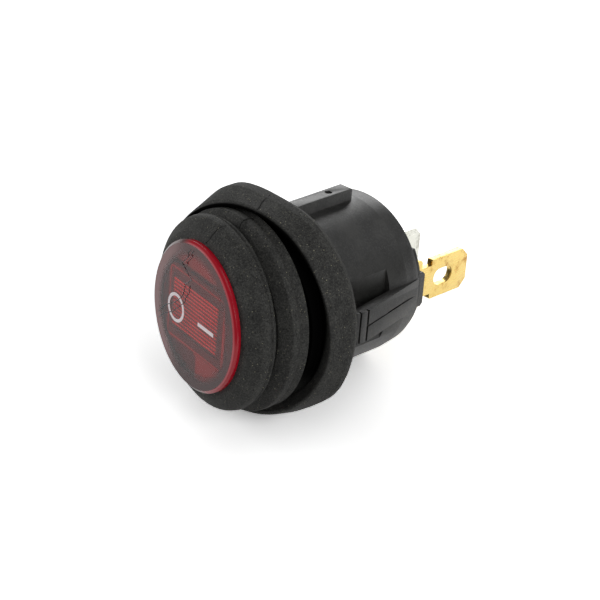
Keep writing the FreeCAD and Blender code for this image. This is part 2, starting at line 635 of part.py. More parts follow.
def fixed_contact():
    """The silver rivet on the load terminal's inner tab."""
    face = PIVOT_Y + FIXED_CONTACT_FACE
    tab_face = PIVOT_Y + CONTACT_TAB_FACE
    head = drum(CONTACT_R, face, tab_face, -CONTACT_X)
    stem = drum(CONTACT_STEM_R - FIT_GAP, tab_face, tab_face + TAB_THICKNESS, -CONTACT_X)
    return head.fuse(stem).removeSplitter()


def blade(x, tongue_top, tongue_half):
    """A flat tab: tongue in the base, shoulder, necked waist, blade with oval hole and chamfers."""
    upper = [(tongue_top, tongue_half, 0), (BLOCK_END_Y, tongue_half, 0),
             (BLOCK_END_Y, SHOULDER_HALF_WIDTH, SHOULDER_CORNER_R),
             (SHOULDER_END, SHOULDER_HALF_WIDTH, SHOULDER_CORNER_R), (SHOULDER_END, NECK_HALF_WIDTH, 0),
             (TAB_START, NECK_HALF_WIDTH, 0), (TAB_START, TAB_HALF_WIDTH, TAB_CORNER_ROUND),
             (TAB_END - TAB_CHAMFER, TAB_HALF_WIDTH, TAB_CORNER_ROUND),
             (TAB_END, TAB_HALF_WIDTH - TAB_CHAMFER, TAB_CORNER_ROUND)]
    lower = [(y, -z, r) for y, z, r in reversed(upper)]
    plate = plate_yz(upper + lower, x - TAB_THICKNESS / 2, x + TAB_THICKNESS / 2)
    hole_y = TAB_END - TAB_HOLE_FROM_END
    end_r = TAB_HOLE_WIDTH / 2 * TAB_HOLE_END_SHARE
    hole = plate_yz([(hole_y + y, z, end_r) for y, z, _ in
                     rectangle(TAB_HOLE_LENGTH / 2, TAB_HOLE_WIDTH / 2, 0)],
                    x - TAB_THICKNESS, x + TAB_THICKNESS)
    return plate.cut(hole)


def common_terminal():
    """The middle tab, whose top carries the arm on two shoulders round a locating tongue."""
    seat_y = PIVOT_Y + ARM_PIVOT + ARM_SEAT_GAP
    tongue_top = PIVOT_Y + ARM_TOP + ARM_SEAT_GAP
    half = TAB_THICKNESS / 2
    tongue_half = ARM_SLOT_WIDTH / 2 - ARM_SLOT_CLEARANCE
    tongue = block((-half, half), (tongue_top, seat_y + OVERCUT), (-tongue_half, tongue_half))
    return blade(0, seat_y, ARM_WIDTH / 2).fuse(tongue).removeSplitter()


def load_terminal():
    """The tab at -X, bent inside the housing into a tab that carries the fixed contact."""
    tab_face = PIVOT_Y + CONTACT_TAB_FACE
    inner = block((-TAB_PITCH, -CONTACT_X + CONTACT_TAB_REACH), (tab_face, tab_face + TAB_THICKNESS),
                  (-TONGUE_HALF_WIDTH, TONGUE_HALF_WIDTH))
    hole = drum(CONTACT_STEM_R, tab_face - OVERCUT, tab_face + TAB_THICKNESS + OVERCUT, -CONTACT_X)
    return blade(-TAB_PITCH, tab_face, TONGUE_HALF_WIDTH).fuse(inner).cut(hole).removeSplitter()


def lamp_terminal():
    """The brass tab at +X that feeds the lamp."""
    return blade(TAB_PITCH, LAMP_TONGUE_TOP, TONGUE_HALF_WIDTH)


def terminal_base():
    """The insulator plug that closes the barrel, with slots, a raised block and end tabs."""
    plug = drum(SOCKET_R - FIT_GAP, SOCKET_Y, BARREL_LENGTH)
    raised = drum(BLOCK_R, BARREL_LENGTH, BLOCK_END_Y).common(
        block((-BLOCK_R, BLOCK_R), (BARREL_LENGTH, BLOCK_END_Y), (-BLOCK_HALF_HEIGHT, BLOCK_HALF_HEIGHT)))
    end_y = BLOCK_END_Y + END_TAB_HEIGHT
    tab = plate_yz([(BARREL_LENGTH, -END_TAB_HALF_WIDTH, 0),
                    (end_y - END_TAB_CHAMFER, -END_TAB_HALF_WIDTH, 0),
                    (end_y, -END_TAB_HALF_WIDTH + END_TAB_CHAMFER, 0),
                    (end_y, END_TAB_HALF_WIDTH - END_TAB_CHAMFER, 0),
                    (end_y - END_TAB_CHAMFER, END_TAB_HALF_WIDTH, 0), (BARREL_LENGTH, END_TAB_HALF_WIDTH, 0)],
                   END_TAB_OUTER_X - END_TAB_THICKNESS, END_TAB_OUTER_X)
    arm_low = PIVOT_Y + ARM_PIVOT + ARM_SEAT_GAP
    stop = block((CONTACT_X - STOP_POST_WIDTH / 2, CONTACT_X + STOP_POST_WIDTH / 2),
                 (arm_low, SOCKET_Y), (-STOP_POST_WIDTH, STOP_POST_WIDTH))
    body = plug.fuse([raised, tab, tab.mirror(Vector(0, 0, 0), AXIS_X), stop])
    slots = []
    for x, half in ((-TAB_PITCH, TONGUE_HALF_WIDTH), (0, ARM_WIDTH / 2), (TAB_PITCH, TONGUE_HALF_WIDTH)):
        slots.append(block((x - TAB_THICKNESS / 2, x + TAB_THICKNESS / 2),
                           (SOCKET_Y - OVERCUT, BLOCK_END_Y + OVERCUT), (-half, half)))
    return body.cut(slots).removeSplitter()


def lamp_spring(side, start_y, pin_x, pin_z):
    """A sprung wire from a terminal's tongue up to its contact pin under the rocker."""
    head = rocker_point(pin_x, SKIRT_END - PIN_HEAD_HEIGHT, pin_z)
    wall_x = side * (TAB_PITCH - LEAD_R)
    end = head + Vector(0, LEAD_R + FIT_GAP, 0)
    return wire_run([Vector(wall_x, start_y, 0), Vector(wall_x, PIVOT_Y + TRUNNION_R + LUG_WALL, 0),
                     Vector(end.x + side * PIN_HEAD_R, end.y + 2 * PIN_HEAD_HEIGHT, pin_z), end,
                     Vector(end.x - side * PIN_HEAD_R, end.y + 2 * LEAD_R, pin_z)], LEAD_R)


def lamp_spring_load():
    """The spring wire from the load terminal."""
    return lamp_spring(-1, PIVOT_Y + CONTACT_TAB_FACE, -PIN_X, LAMP_Z)


def lamp_spring_ground():
    """The spring wire from the lamp terminal."""
    return lamp_spring(1, LAMP_TONGUE_TOP, PIN_X, RESISTOR_Z)


PIECES = {
    "housing": housing,
    "terminal_base": terminal_base,
    "boot": boot,
    "lens": lens,
    "rocker": rocker,
    "window": window,
    "lamp": lamp,
    "lamp_resistor": lamp_resistor,
    "lamp_pin_load": lambda: lamp_pin(-PIN_X, LAMP_Z),
    "lamp_pin_ground": lambda: lamp_pin(PIN_X, RESISTOR_Z),
    "lamp_spring_load": lamp_spring_load,
    "lamp_spring_ground": lamp_spring_ground,
    "plunger": plunger,
    "plunger_spring": plunger_spring,
    "contact_arm": contact_arm,
    "moving_contact": moving_contact,
    "fixed_contact": fixed_contact,
    "common_terminal": common_terminal,
    "load_terminal": load_terminal,
    "lamp_terminal": lamp_terminal,
}

os.makedirs("parts", exist_ok=True)
for node, make in PIECES.items():
    shape = make()
    shape.exportStep("parts/%s.step" % node)
    print("%-20s solids %d valid %s volume %.2f" % (node, len(shape.Solids), shape.isValid(), shape.Volume))
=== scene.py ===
"""Studio scene of a waterproof round rocker switch with a red face, lying on a white floor.

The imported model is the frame. The switch axis is Y: the red face looks towards -Y, the tabs
point towards +Y and the key rib is on top, +Z. Blender's lengths are metres. The size fields
below are in millimetres, and MM turns them to metres.
"""
import sys

import json
import logging
import math
from dataclasses import dataclass, field
from enum import Enum

import bmesh
import bpy
from mathutils import Matrix, Vector
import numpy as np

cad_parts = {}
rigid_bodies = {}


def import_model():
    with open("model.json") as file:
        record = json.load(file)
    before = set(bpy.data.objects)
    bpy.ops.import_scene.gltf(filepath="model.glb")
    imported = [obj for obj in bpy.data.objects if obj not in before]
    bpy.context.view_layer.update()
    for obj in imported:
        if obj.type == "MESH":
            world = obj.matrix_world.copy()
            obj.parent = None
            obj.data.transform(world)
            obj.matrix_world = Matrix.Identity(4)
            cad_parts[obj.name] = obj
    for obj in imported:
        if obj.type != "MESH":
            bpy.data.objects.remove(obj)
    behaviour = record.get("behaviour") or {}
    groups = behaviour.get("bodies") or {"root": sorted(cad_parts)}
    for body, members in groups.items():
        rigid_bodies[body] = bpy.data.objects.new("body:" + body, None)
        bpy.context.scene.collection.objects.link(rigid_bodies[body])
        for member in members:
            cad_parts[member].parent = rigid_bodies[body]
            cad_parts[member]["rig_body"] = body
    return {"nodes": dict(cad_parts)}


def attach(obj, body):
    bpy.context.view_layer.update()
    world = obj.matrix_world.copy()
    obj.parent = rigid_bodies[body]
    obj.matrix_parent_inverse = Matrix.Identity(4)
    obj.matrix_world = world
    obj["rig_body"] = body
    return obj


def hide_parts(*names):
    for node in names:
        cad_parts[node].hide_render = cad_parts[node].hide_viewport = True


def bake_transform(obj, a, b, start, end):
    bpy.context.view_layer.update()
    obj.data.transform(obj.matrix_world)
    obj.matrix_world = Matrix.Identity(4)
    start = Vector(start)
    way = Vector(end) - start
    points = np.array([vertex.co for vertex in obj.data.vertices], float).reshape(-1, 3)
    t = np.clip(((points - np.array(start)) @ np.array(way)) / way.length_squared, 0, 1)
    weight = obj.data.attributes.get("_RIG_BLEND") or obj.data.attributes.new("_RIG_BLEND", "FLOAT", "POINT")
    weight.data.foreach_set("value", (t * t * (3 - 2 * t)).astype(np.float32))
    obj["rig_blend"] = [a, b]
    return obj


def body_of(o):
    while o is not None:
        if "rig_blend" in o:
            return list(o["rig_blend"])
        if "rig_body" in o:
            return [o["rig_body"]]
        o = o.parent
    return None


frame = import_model()

MM = 0.001
LOG = logging.getLogger("rocker_switch")
PIVOT = Vector((0.0, -2.0, 0.0)) * MM
ROUND_STEPS = 168
SMOOTH_ANGLE = math.radians(32.0)
SOFT_ANGLE = math.radians(40.0)
FLAT_ANGLE = math.radians(0.5)
MERGE_DISTANCE = 2e-7

# Node kinds and settings that come again and again.
MATH, VECTOR, RANGE, MIX = "ShaderNodeMath", "ShaderNodeVectorMath", "ShaderNodeMapRange", "ShaderNodeMix"
NOISE, PRINCIPLED, SHADERS = "ShaderNodeTexNoise", "ShaderNodeBsdfPrincipled", "ShaderNodeMixShader"
CLEAR, AXES, PATH = "ShaderNodeBsdfTransparent", "ShaderNodeSeparateXYZ", "ShaderNodeLightPath"
PLUS, MINUS, TIMES = {"operation": "ADD"}, {"operation": "SUBTRACT"}, {"operation": "MULTIPLY"}
LARGER, SIZE_OF, DOT = {"operation": "MAXIMUM"}, {"operation": "ABSOLUTE"}, {"operation": "DOT_PRODUCT"}
TIMES_PLUS, COLOURS = {"operation": "MULTIPLY_ADD"}, {"data_type": "RGBA"}
STEP = {"interpolation_type": "SMOOTHSTEP"}
# The inputs of a colour Mix node.
SHARE, FIRST, SECOND = 0, 6, 7


class Lean(Enum):
    """How far each part of the boot leans with the rocker at rest, in degrees."""

    FLANGE = 0.0
    RING_TWO = 8.5
    ROCKER = 13.3


def linear(hex_code: str) -> tuple[float, float, float, float]:
    """Turn an sRGB hex colour such as "#c0a060" to linear RGBA.

    Args:
        hex_code: Six hex digits after a hash.

    Returns:
        Red, green, blue and an alpha of 1, all linear.
    """
    parts = [int(hex_code[i:i + 2], 16) / 255.0 for i in (1, 3, 5)]
    red, green, blue = [p / 12.92 if p <= 0.04045 else ((p + 0.055) / 1.055) ** 2.4 for p in parts]
    return red, green, blue, 1.0


def per_mm(size: float) -> float:
    """The texture scale that gives a pattern this size, in millimetres, on coordinates in metres."""
    return 1.0 / (size * MM)


def between(start: float, end: float, unit: float = 1.0) -> dict[str, float]:
    """A Map Range node's inputs that give 0 at start and 1 at end, which may be the lower number."""
    return {"From Min": start * unit, "From Max": end * unit}


def add(tree: bpy.types.NodeTree, kind: str, settings: dict | None = None,
        inputs: dict | None = None) -> bpy.types.Node:
    """Add a node with its settings and its links.

    Args:
        tree: The node tree that gets the node.
        kind: The node's type name.
        settings: Attributes to set on the node.
        inputs: Values, sockets or nodes for the inputs, by name or number. A node stands for its
            first enabled output.

    Returns:
        The new node.
    """
    node = tree.nodes.new(kind)
    for name, value in (settings or {}).items():
        setattr(node, name, value)
    for key, value in (inputs or {}).items():
        if isinstance(value, bpy.types.Node):
            value = next(socket for socket in value.outputs if socket.enabled)
        if isinstance(value, bpy.types.NodeSocket):
            tree.links.new(value, node.inputs[key])
        else:
            node.inputs[key].default_value = value
    return node


def leaned(lean: Lean) -> Matrix:
    """The matrix that sets a form, drawn with the pivot at its origin, at its lean at rest."""
    return Matrix.Translation(PIVOT) @ Matrix.Rotation(-math.radians(lean.value), 4, "Z")


def bare_material(name: str) -> tuple[bpy.types.Material, bpy.types.NodeTree, bpy.types.NodeSocket]:
    """Start a material.

    Args:
        name: The finish's name.

    Returns:
        The material, its tree and the Object coordinates of its piece, in the switch's frame.
    """
    material = bpy.data.materials.new(name)
    material.use_nodes = True
    tree = material.node_tree
    tree.nodes.clear()
    return material, tree, add(tree, "ShaderNodeTexCoord").outputs["Object"]


def rocker_place(tree: bpy.types.NodeTree, where: bpy.types.NodeSocket) -> bpy.types.NodeSocket:
    """Turn coordinates back by the rocker's lean, with the pivot as their origin.

    Args:
        tree: The material's tree.
        where: The coordinates, in metres.

    Returns:
        The coordinates in the rocker's own frame, in metres.
    """
    turned = add(tree, "ShaderNodeVectorRotate", {"rotation_type": "Z_AXIS"},
                 {"Vector": where, "Center": PIVOT, "Angle": math.radians(Lean.ROCKER.value)})
    return add(tree, VECTOR, MINUS, {0: turned, 1: PIVOT}).outputs[0]


def off_axis(tree: bpy.types.NodeTree, where: bpy.types.NodeSocket) -> bpy.types.NodeSocket:
    """Measure how far a place is from the Y axis.

    Args:
        tree: The material's tree.
        where: The coordinates, in metres.

    Returns:
        The distance in metres.
    """
    flat = add(tree, VECTOR, TIMES, {0: where, 1: (1.0, 0.0, 1.0)})
    return add(tree, VECTOR, {"operation": "LENGTH"}, {0: flat}).outputs["Value"]


def random_discs(tree: bpy.types.NodeTree, where: bpy.types.NodeSocket, cell: float,
                 radius: float) -> tuple[bpy.types.Node, bpy.types.NodeOutputs]:
    """Scatter discs of random sizes, one to a random cell.

    Args:
        tree: The material's tree.
        where: The coordinates.
        cell: The cells' size in millimetres.
        radius: The largest disc's radius in millimetres.

    Returns:
        A node that gives 1 inside the discs, and the three random numbers of each cell.
    """
    cells = add(tree, "ShaderNodeTexVoronoi", {"feature": "F1"},
                {"Vector": where, "Scale": per_mm(cell), "Randomness": 1.0}).outputs
    picks = add(tree, "ShaderNodeSeparateColor", None, {"Color": cells["Color"]}).outputs
    # The distance is in cells, so a disc's radius is a share of its cell.
    reach = add(tree, MATH, TIMES, {0: picks["Red"], 1: radius / cell})
    return add(tree, MATH, {"operation": "LESS_THAN"}, {0: cells["Distance"], 1: reach}), picks


def out_of_frame(tree: bpy.types.NodeTree, axes: bpy.types.NodeOutputs, middle: tuple[float, float],
                 half_size: tuple[float, float], corner: float) -> bpy.types.Node:
    """How far a place lies outside a rectangle with soft corners.

    Args:
        tree: The material's tree.
        axes: The separated coordinates.
        middle: X and Z of the rectangle's middle, in millimetres.
        half_size: Half its width and height, in millimetres.
        corner: How soft its corners are, in millimetres.

    Returns:
        A node that gives the distance in metres, less than 0 inside.
    """
    reaches = []
    for axis, centre, half in zip(("X", "Z"), middle, half_size):
        offset = add(tree, MATH, MINUS, {0: axes[axis], 1: centre * MM})
        away = add(tree, MATH, SIZE_OF, {0: offset})
        reaches.append(add(tree, MATH, MINUS, {0: away, 1: half * MM}))
    return add(tree, MATH, {"operation": "SMOOTH_MAX"}, {0: reaches[0], 1: reaches[1], 2: corner * MM})


@dataclass(frozen=True)
class MouldedNylon:
    """Glass-filled nylon, injection moulded and spark-eroded satin: a grey-black that shines softly."""

    name: str
    colour: str = "#161615"
    rubbed: str = "#2e2e2c"
    roughness: float = 0.42
    cloud: float = 2.6
    cloud_span: tuple[float, float] = (0.35, 0.75)
    # The real grain is near 0.05 mm. It is drawn at this size so that it shows at all.
    grain: float = 0.24
    rubbed_span: tuple[float, float] = (0.5, 0.64)
    relief: float = 0.02

    def build(self) -> bpy.types.Material:
        """Build the material: cloudy colour, a satin that varies, and the eroded grain as relief."""
        material, tree, where = bare_material(self.name)
        cloud = add(tree, NOISE, None, {"Vector": where, "Scale": per_mm(self.cloud), "Detail": 4.0,
                                        "Roughness": 0.6})
        grain = add(tree, NOISE, None, {"Vector": where, "Scale": per_mm(self.grain), "Detail": 3.0,
                                        "Roughness": 0.8})
        share = add(tree, RANGE, STEP, {"Value": cloud, **between(*self.cloud_span)})
        pale = add(tree, RANGE, STEP, {"Value": grain, **between(*self.rubbed_span)})
        lift = add(tree, MATH, PLUS, {0: pale, 1: share})
        colour = add(tree, MIX, COLOURS, {SHARE: lift, FIRST: linear(self.colour),
                                          SECOND: linear(self.rubbed)})
        rough = add(tree, RANGE, None, {"Value": grain, "To Min": self.roughness + 0.12,
                                        "To Max": self.roughness - 0.12})
        relief = add(tree, "ShaderNodeBump", None, {"Height": grain, "Strength": 0.5,
                                                    "Distance": self.relief * MM})
        shader = add(tree, PRINCIPLED, None, {"Base Color": colour, "Roughness": rough, "IOR": 1.53,
                                              "Normal": relief})
        add(tree, "ShaderNodeOutputMaterial", None, {"Surface": shader})
        return material


@dataclass(frozen=True)
class BootRubber:
    """Compression-moulded silicone rubber: matte charcoal with an olive cast that holds pale dust."""

    name: str
    colour: str = "#30302f"
    bloom: str = "#4f4f4c"
    pore: str = "#1b1b1a"
    dust: str = "#9c9981"
    # The colour of the painted shade in the groove between the lip and the back ring.
    valley_shade: str = "#050505"
    valley_radius: float = 12.6
    valley_slope: tuple[float, float, float] = (-0.075, 1.0, 0.12)
    valley_depths: tuple[float, float] = (-4.9, -3.6)
    valley_wall: float = 11.2
    valley_back: tuple[float, float] = (-1.2, -1.6)
    valley_foot: tuple[float, float] = (-11.5, -4.0)
    valley_edge: float = 0.1
    roughness: float = 0.72
    cloud: float = 1.8
    skin: float = 0.16
    # The real grain and dust are finer than this and are drawn as coarse as needed to show.
    grain: float = 0.2
    grain_depth: float = 0.7
    bloom_span: tuple[float, float] = (0.3, 1.0)
    pale_span: tuple[float, float] = (0.5, 0.64)
    pore_span: tuple[float, float] = (0.48, 0.32)
    gloss: tuple[float, float] = (0.3, 0.02)
    speck_cell: float = 0.27
    speck_radius: float = 0.062
    clean_share: float = 0.35

    def painted_valley_shade(self, tree: bpy.types.NodeTree, where: bpy.types.NodeSocket) -> bpy.types.Node:
        """Mask the painted shade: the groove between the lip and the back ring, drawn near black where next
        to no light gets down.

        Args:
            tree: The material's tree.
            where: The Object coordinates.

        Returns:
            A node that gives 1 in the valley.
        """
        radius, edge = off_axis(tree, where), self.valley_edge
        depth = add(tree, VECTOR, DOT, {0: where, 1: self.valley_slope}).outputs["Value"]
        axes = add(tree, AXES, None, {"Vector": where}).outputs
        bounds = ((depth, self.valley_depths), (radius, (self.valley_wall + edge, self.valley_wall - edge)),
                  (radius, (self.valley_radius + edge, self.valley_radius - edge)),
                  (axes["Y"], self.valley_back), (axes["Z"], self.valley_foot))
        deep, wall, *limits = [add(tree, RANGE, STEP, {"Value": value, **between(*span, MM)})
                               for value, span in bounds]
        inside = add(tree, MATH, LARGER, {0: wall, 1: deep})
        for limit in limits:
            inside = add(tree, MATH, TIMES, {0: inside, 1: limit})
        return inside

    def build(self) -> bpy.types.Material:
        """Build the material: a cloudy bloom, dust specks in random cells, fine skin relief and painted
        shade in the groove by the lip.
        """
        material, tree, where = bare_material(self.name)
        cloud = add(tree, NOISE, None, {"Vector": where, "Scale": per_mm(self.cloud), "Detail": 5.0,
                                        "Roughness": 0.65})
        skin = add(tree, NOISE, None, {"Vector": where, "Scale": per_mm(self.skin), "Detail": 2.0})
        fine = add(tree, NOISE, None, {"Vector": where, "Scale": per_mm(self.grain), "Detail": 3.0,
                                       "Roughness": 0.8})
        disc, picks = random_discs(tree, where, self.speck_cell, self.speck_radius)
        chosen = add(tree, MATH, {"operation": "GREATER_THAN"}, {0: picks["Green"], 1: self.clean_share})
        speck = add(tree, MATH, TIMES, {0: disc, 1: chosen})
        speck = add(tree, MATH, TIMES, {0: speck, 1: picks["Blue"]})
        share = add(tree, RANGE, STEP, {"Value": cloud, **between(*self.bloom_span)})
        pale = add(tree, RANGE, STEP, {"Value": fine, **between(*self.pale_span)})
        deep = add(tree, RANGE, STEP, {"Value": fine, **between(*self.pore_span)})
        lift = add(tree, MATH, TIMES_PLUS, {0: pale, 1: self.grain_depth, 2: share})
        # Painted shade: the groove by the lip turns near black and loses most of its shine.
        valley_shade = self.painted_valley_shade(tree, where)
        colour = linear(self.colour)
        for amount, shade in ((lift, self.bloom), (deep, self.pore), (speck, self.dust),
                              (valley_shade, self.valley_shade)):
            colour = add(tree, MIX, COLOURS, {SHARE: amount, FIRST: colour, SECOND: linear(shade)})
        gloss = add(tree, RANGE, None, {"Value": valley_shade, "To Min": self.gloss[0], "To Max": self.gloss[1]})
        rough = add(tree, RANGE, None, {"Value": cloud, "To Min": self.roughness - 0.08,
                                        "To Max": self.roughness + 0.12})
        relief = add(tree, "ShaderNodeBump", None, {"Height": skin, "Strength": 0.3, "Distance": 0.02 * MM})
        shader = add(tree, PRINCIPLED, None, {"Base Color": colour, "Roughness": rough, "IOR": 1.38,
                                              "Specular IOR Level": gloss, "Normal": relief})
        add(tree, "ShaderNodeOutputMaterial", None, {"Surface": shader})
        return material


@dataclass(frozen=True)
class ClearRedLens:
    """Polycarbonate dyed red, moulded and polished: clear over the face, dense red round its rim. A painted
    highlight lies on the bevel, and painted reflection pales the border and rim towards the left and bottom.
    """

    name: str
    tint: str = "#ff8a80"
    rim: str = "#ac0c22"
    # A painted highlight: the bevel at the face's edge is drawn pale pink.
    bevel_highlight: str = "#c25a60"
    # Painted reflection: the rim is drawn greyish pink on its left and lower side.
    pale_edge_reflection: str = "#5c4040"
    border: str = "#4a1010"
    # The border is drawn paler and greyer towards the bottom and the left as painted reflection; cover_left
    # gives the left more of it.
    border_low_reflection: str = "#3c1616"
    border_left_reflection: str = "#8c6464"
    ior: float = 1.46
    haze: float = 3.0
    cover_left: float = 0.9
    cover_right: float = 0.85
    border_span: tuple[float, float] = (6.6, 7.9)
    rim_span: tuple[float, float] = (8.48, 8.58)
    side_span: tuple[float, float] = (8.62, 8.74)
    left_span: tuple[float, float] = (-2.0, -6.0)
    low_span: tuple[float, float] = (-2.0, -6.0)
    dense_towards: tuple[float, float, float] = (0.95, 0.0, 0.31)
    dense_span: tuple[float, float] = (-0.8, 1.4)

    def build(self) -> bpy.types.Material:
        """Build the material: tinted glass for the face, a dense rim with a painted highlight on its bevel,
        painted reflection towards the left and bottom, and a film that passes lamps.
        """
        material, tree, where = bare_material(self.name)
        near = rocker_place(tree, where)
        axes = add(tree, AXES, None, {"Vector": near}).outputs
        radius = off_axis(tree, near)
        towards = add(tree, VECTOR, DOT, {0: near, 1: self.dense_towards}).outputs["Value"]
        spans = ((radius, self.border_span), (radius, self.rim_span), (radius, self.side_span),
                 (axes["X"], self.left_span), (axes["Z"], self.low_span), (towards, self.dense_span))
        on_border, on_rim, on_side, left, low, on_dense = [
            add(tree, RANGE, STEP, {"Value": value, **between(*span, MM)}) for value, span in spans]
        inner = add(tree, "ShaderNodeNewGeometry").outputs["Backfacing"]
        outside = add(tree, MATH, MINUS, {0: 1.0, 1: inner})
        at_rim = add(tree, MATH, TIMES, {0: on_rim, 1: outside})
        at_border = add(tree, MATH, TIMES, {0: on_border, 1: outside})
        cover = add(tree, RANGE, None, {"Value": left, "To Min": self.cover_right,
                                        "To Max": self.cover_left})
        veil = add(tree, MATH, TIMES, {0: at_border, 1: cover})
        # Painted reflection: the border pales towards the bottom and the left.
        border = linear(self.border)
        for amount, shade in ((low, self.border_low_reflection), (left, self.border_left_reflection)):
            border = add(tree, MIX, COLOURS, {SHARE: amount, FIRST: border, SECOND: linear(shade)})
        # The bevel gets its painted pink highlight; beyond it the side wall is dense red.
        edge = add(tree, MIX, COLOURS, {SHARE: on_side, FIRST: linear(self.bevel_highlight), SECOND: linear(self.rim)})
        edge = add(tree, MIX, COLOURS, {SHARE: on_dense, FIRST: linear(self.pale_edge_reflection), SECOND: edge})
        haze = add(tree, NOISE, None, {"Vector": where, "Scale": per_mm(self.haze), "Detail": 3.0})
        rough = add(tree, RANGE, None, {"Value": haze, "To Min": 0.02, "To Max": 0.05})
        entering = add(tree, PRINCIPLED, None, {"Base Color": linear(self.tint), "Roughness": rough,
                                                "IOR": self.ior, "Transmission Weight": 1.0})
        # The back face lets light out straight and mirrors none, as a face bedded on the carrier does.
        leaving = add(tree, CLEAR, None, {"Color": linear(self.tint)})
        milky = add(tree, PRINCIPLED, None, {"Base Color": border, "Roughness": rough, "IOR": self.ior})
        dense = add(tree, PRINCIPLED, None, {"Base Color": edge, "Roughness": 0.2, "IOR": self.ior})
        past = add(tree, MATH, {"operation": "GREATER_THAN"}, {0: radius, 1: self.border_span[1] * MM})
        let_through = add(tree, MIX, COLOURS, {SHARE: past, FIRST: linear(self.tint),
                                               SECOND: (0.0, 0.0, 0.0, 1.0)})
        film = add(tree, CLEAR, None, {"Color": let_through})
        shadow = add(tree, PATH).outputs["Is Shadow Ray"]
        whole = entering
        for amount, other in ((inner, leaving), (veil, milky), (at_rim, dense), (shadow, film)):
            whole = add(tree, SHADERS, None, {0: amount, 1: whole, 2: other})
        add(tree, "ShaderNodeOutputMaterial", None, {"Surface": whole})
        return material


@dataclass(frozen=True)
class LightWindow:
    """Red polycarbonate window with moulded light-spreading ribs: bright red lines with a bead pattern."""

    name: str
    colour: str = "#361312"
    crest: str = "#a04038"
    edge: str = "#2a0f0d"
    middle: tuple[float, float] = (-0.25, 0.0)
    half_size: tuple[float, float] = (4.8, 2.95)
    corner: float = 0.5
    edge_span: tuple[float, float] = (-0.1, 0.1)
    rib_pitch: float = 0.457
    bead_pitch: float = 0.52
    bead_weight: float = 0.45
    line_span: tuple[float, float] = (-0.7, 1.3)

    def build(self) -> bpy.types.Material:
        """Build the material: a brighter line along each rib, broken into beads."""
        material, tree, where = bare_material(self.name)
        axes = add(tree, AXES, None, {"Vector": rocker_place(tree, where)}).outputs
        waves = []
        for axis, pitch in (("Z", self.rib_pitch), ("X", self.bead_pitch)):
            turns = add(tree, MATH, TIMES, {0: axes[axis], 1: 2.0 * math.pi * per_mm(pitch)})
            waves.append(add(tree, MATH, {"operation": "COSINE"}, {0: turns}))
        line = add(tree, MATH, TIMES_PLUS, {0: waves[1], 1: self.bead_weight, 2: waves[0]})
        share = add(tree, RANGE, STEP, {"Value": line, **between(*self.line_span)})
        out = out_of_frame(tree, axes, self.middle, self.half_size, self.corner)
        at_edge = add(tree, RANGE, STEP, {"Value": out, **between(*self.edge_span, MM)})
        colour = linear(self.colour)
        for amount, shade in ((share, self.crest), (at_edge, self.edge)):
            colour = add(tree, MIX, COLOURS, {SHARE: amount, FIRST: colour, SECOND: linear(shade)})
        relief = add(tree, "ShaderNodeBump", None, {"Height": line, "Strength": 0.5, "Distance": 0.03 * MM})
        shader = add(tree, PRINCIPLED, None, {"Base Color": colour, "Roughness": 0.35,
                                              "Specular IOR Level": 0.1, "Normal": relief})
        add(tree, "ShaderNodeOutputMaterial", None, {"Surface": shader})
        return material


@dataclass(frozen=True)
class RolledMetal:
    """Strip metal, rolled, stamped and tumbled: fine lengthwise grain, pits and handling scratches."""

    name: str
    colour: str
    tarnish: str
    roughness: float
    grain: float = 0.14
    cloud: float = 1.6
    stain_span: tuple[float, float] = (0.48, 0.74)
    stretch: tuple[float, float, float] = (1.0, 0.08, 1.0)
    pit_cell: float = 0.6
    pit_radius: float = 0.09

    def build(self) -> bpy.types.Material:
        """Build the material: grain stretched along the strip, tarnish clouds, and dark pits."""
        material, tree, where = bare_material(self.name)
        along = add(tree, "ShaderNodeMapping", None, {"Vector": where, "Scale": self.stretch})
        grain = add(tree, NOISE, None, {"Vector": along, "Scale": per_mm(self.grain), "Detail": 3.0})
        cloud = add(tree, NOISE, None, {"Vector": where, "Scale": per_mm(self.cloud), "Detail": 5.0,
                                        "Roughness": 0.7})
        stain = add(tree, RANGE, STEP, {"Value": cloud, **between(*self.stain_span)})
        pit, _ = random_discs(tree, where, self.pit_cell, self.pit_radius)
        colour = linear(self.colour)
        for amount in (stain, pit):
            colour = add(tree, MIX, COLOURS, {SHARE: amount, FIRST: colour, SECOND: linear(self.tarnish)})
        rough = add(tree, RANGE, None, {"Value": grain, "To Min": self.roughness - 0.1,
                                        "To Max": self.roughness + 0.12})
        relief = add(tree, "ShaderNodeBump", None, {"Height": grain, "Strength": 0.2, "Distance": 0.01 * MM})
        shader = add(tree, PRINCIPLED, None, {"Base Color": colour, "Metallic": 1.0, "Roughness": rough,
                                              "Normal": relief})
        add(tree, "ShaderNodeOutputMaterial", None, {"Surface": shader})
        return material


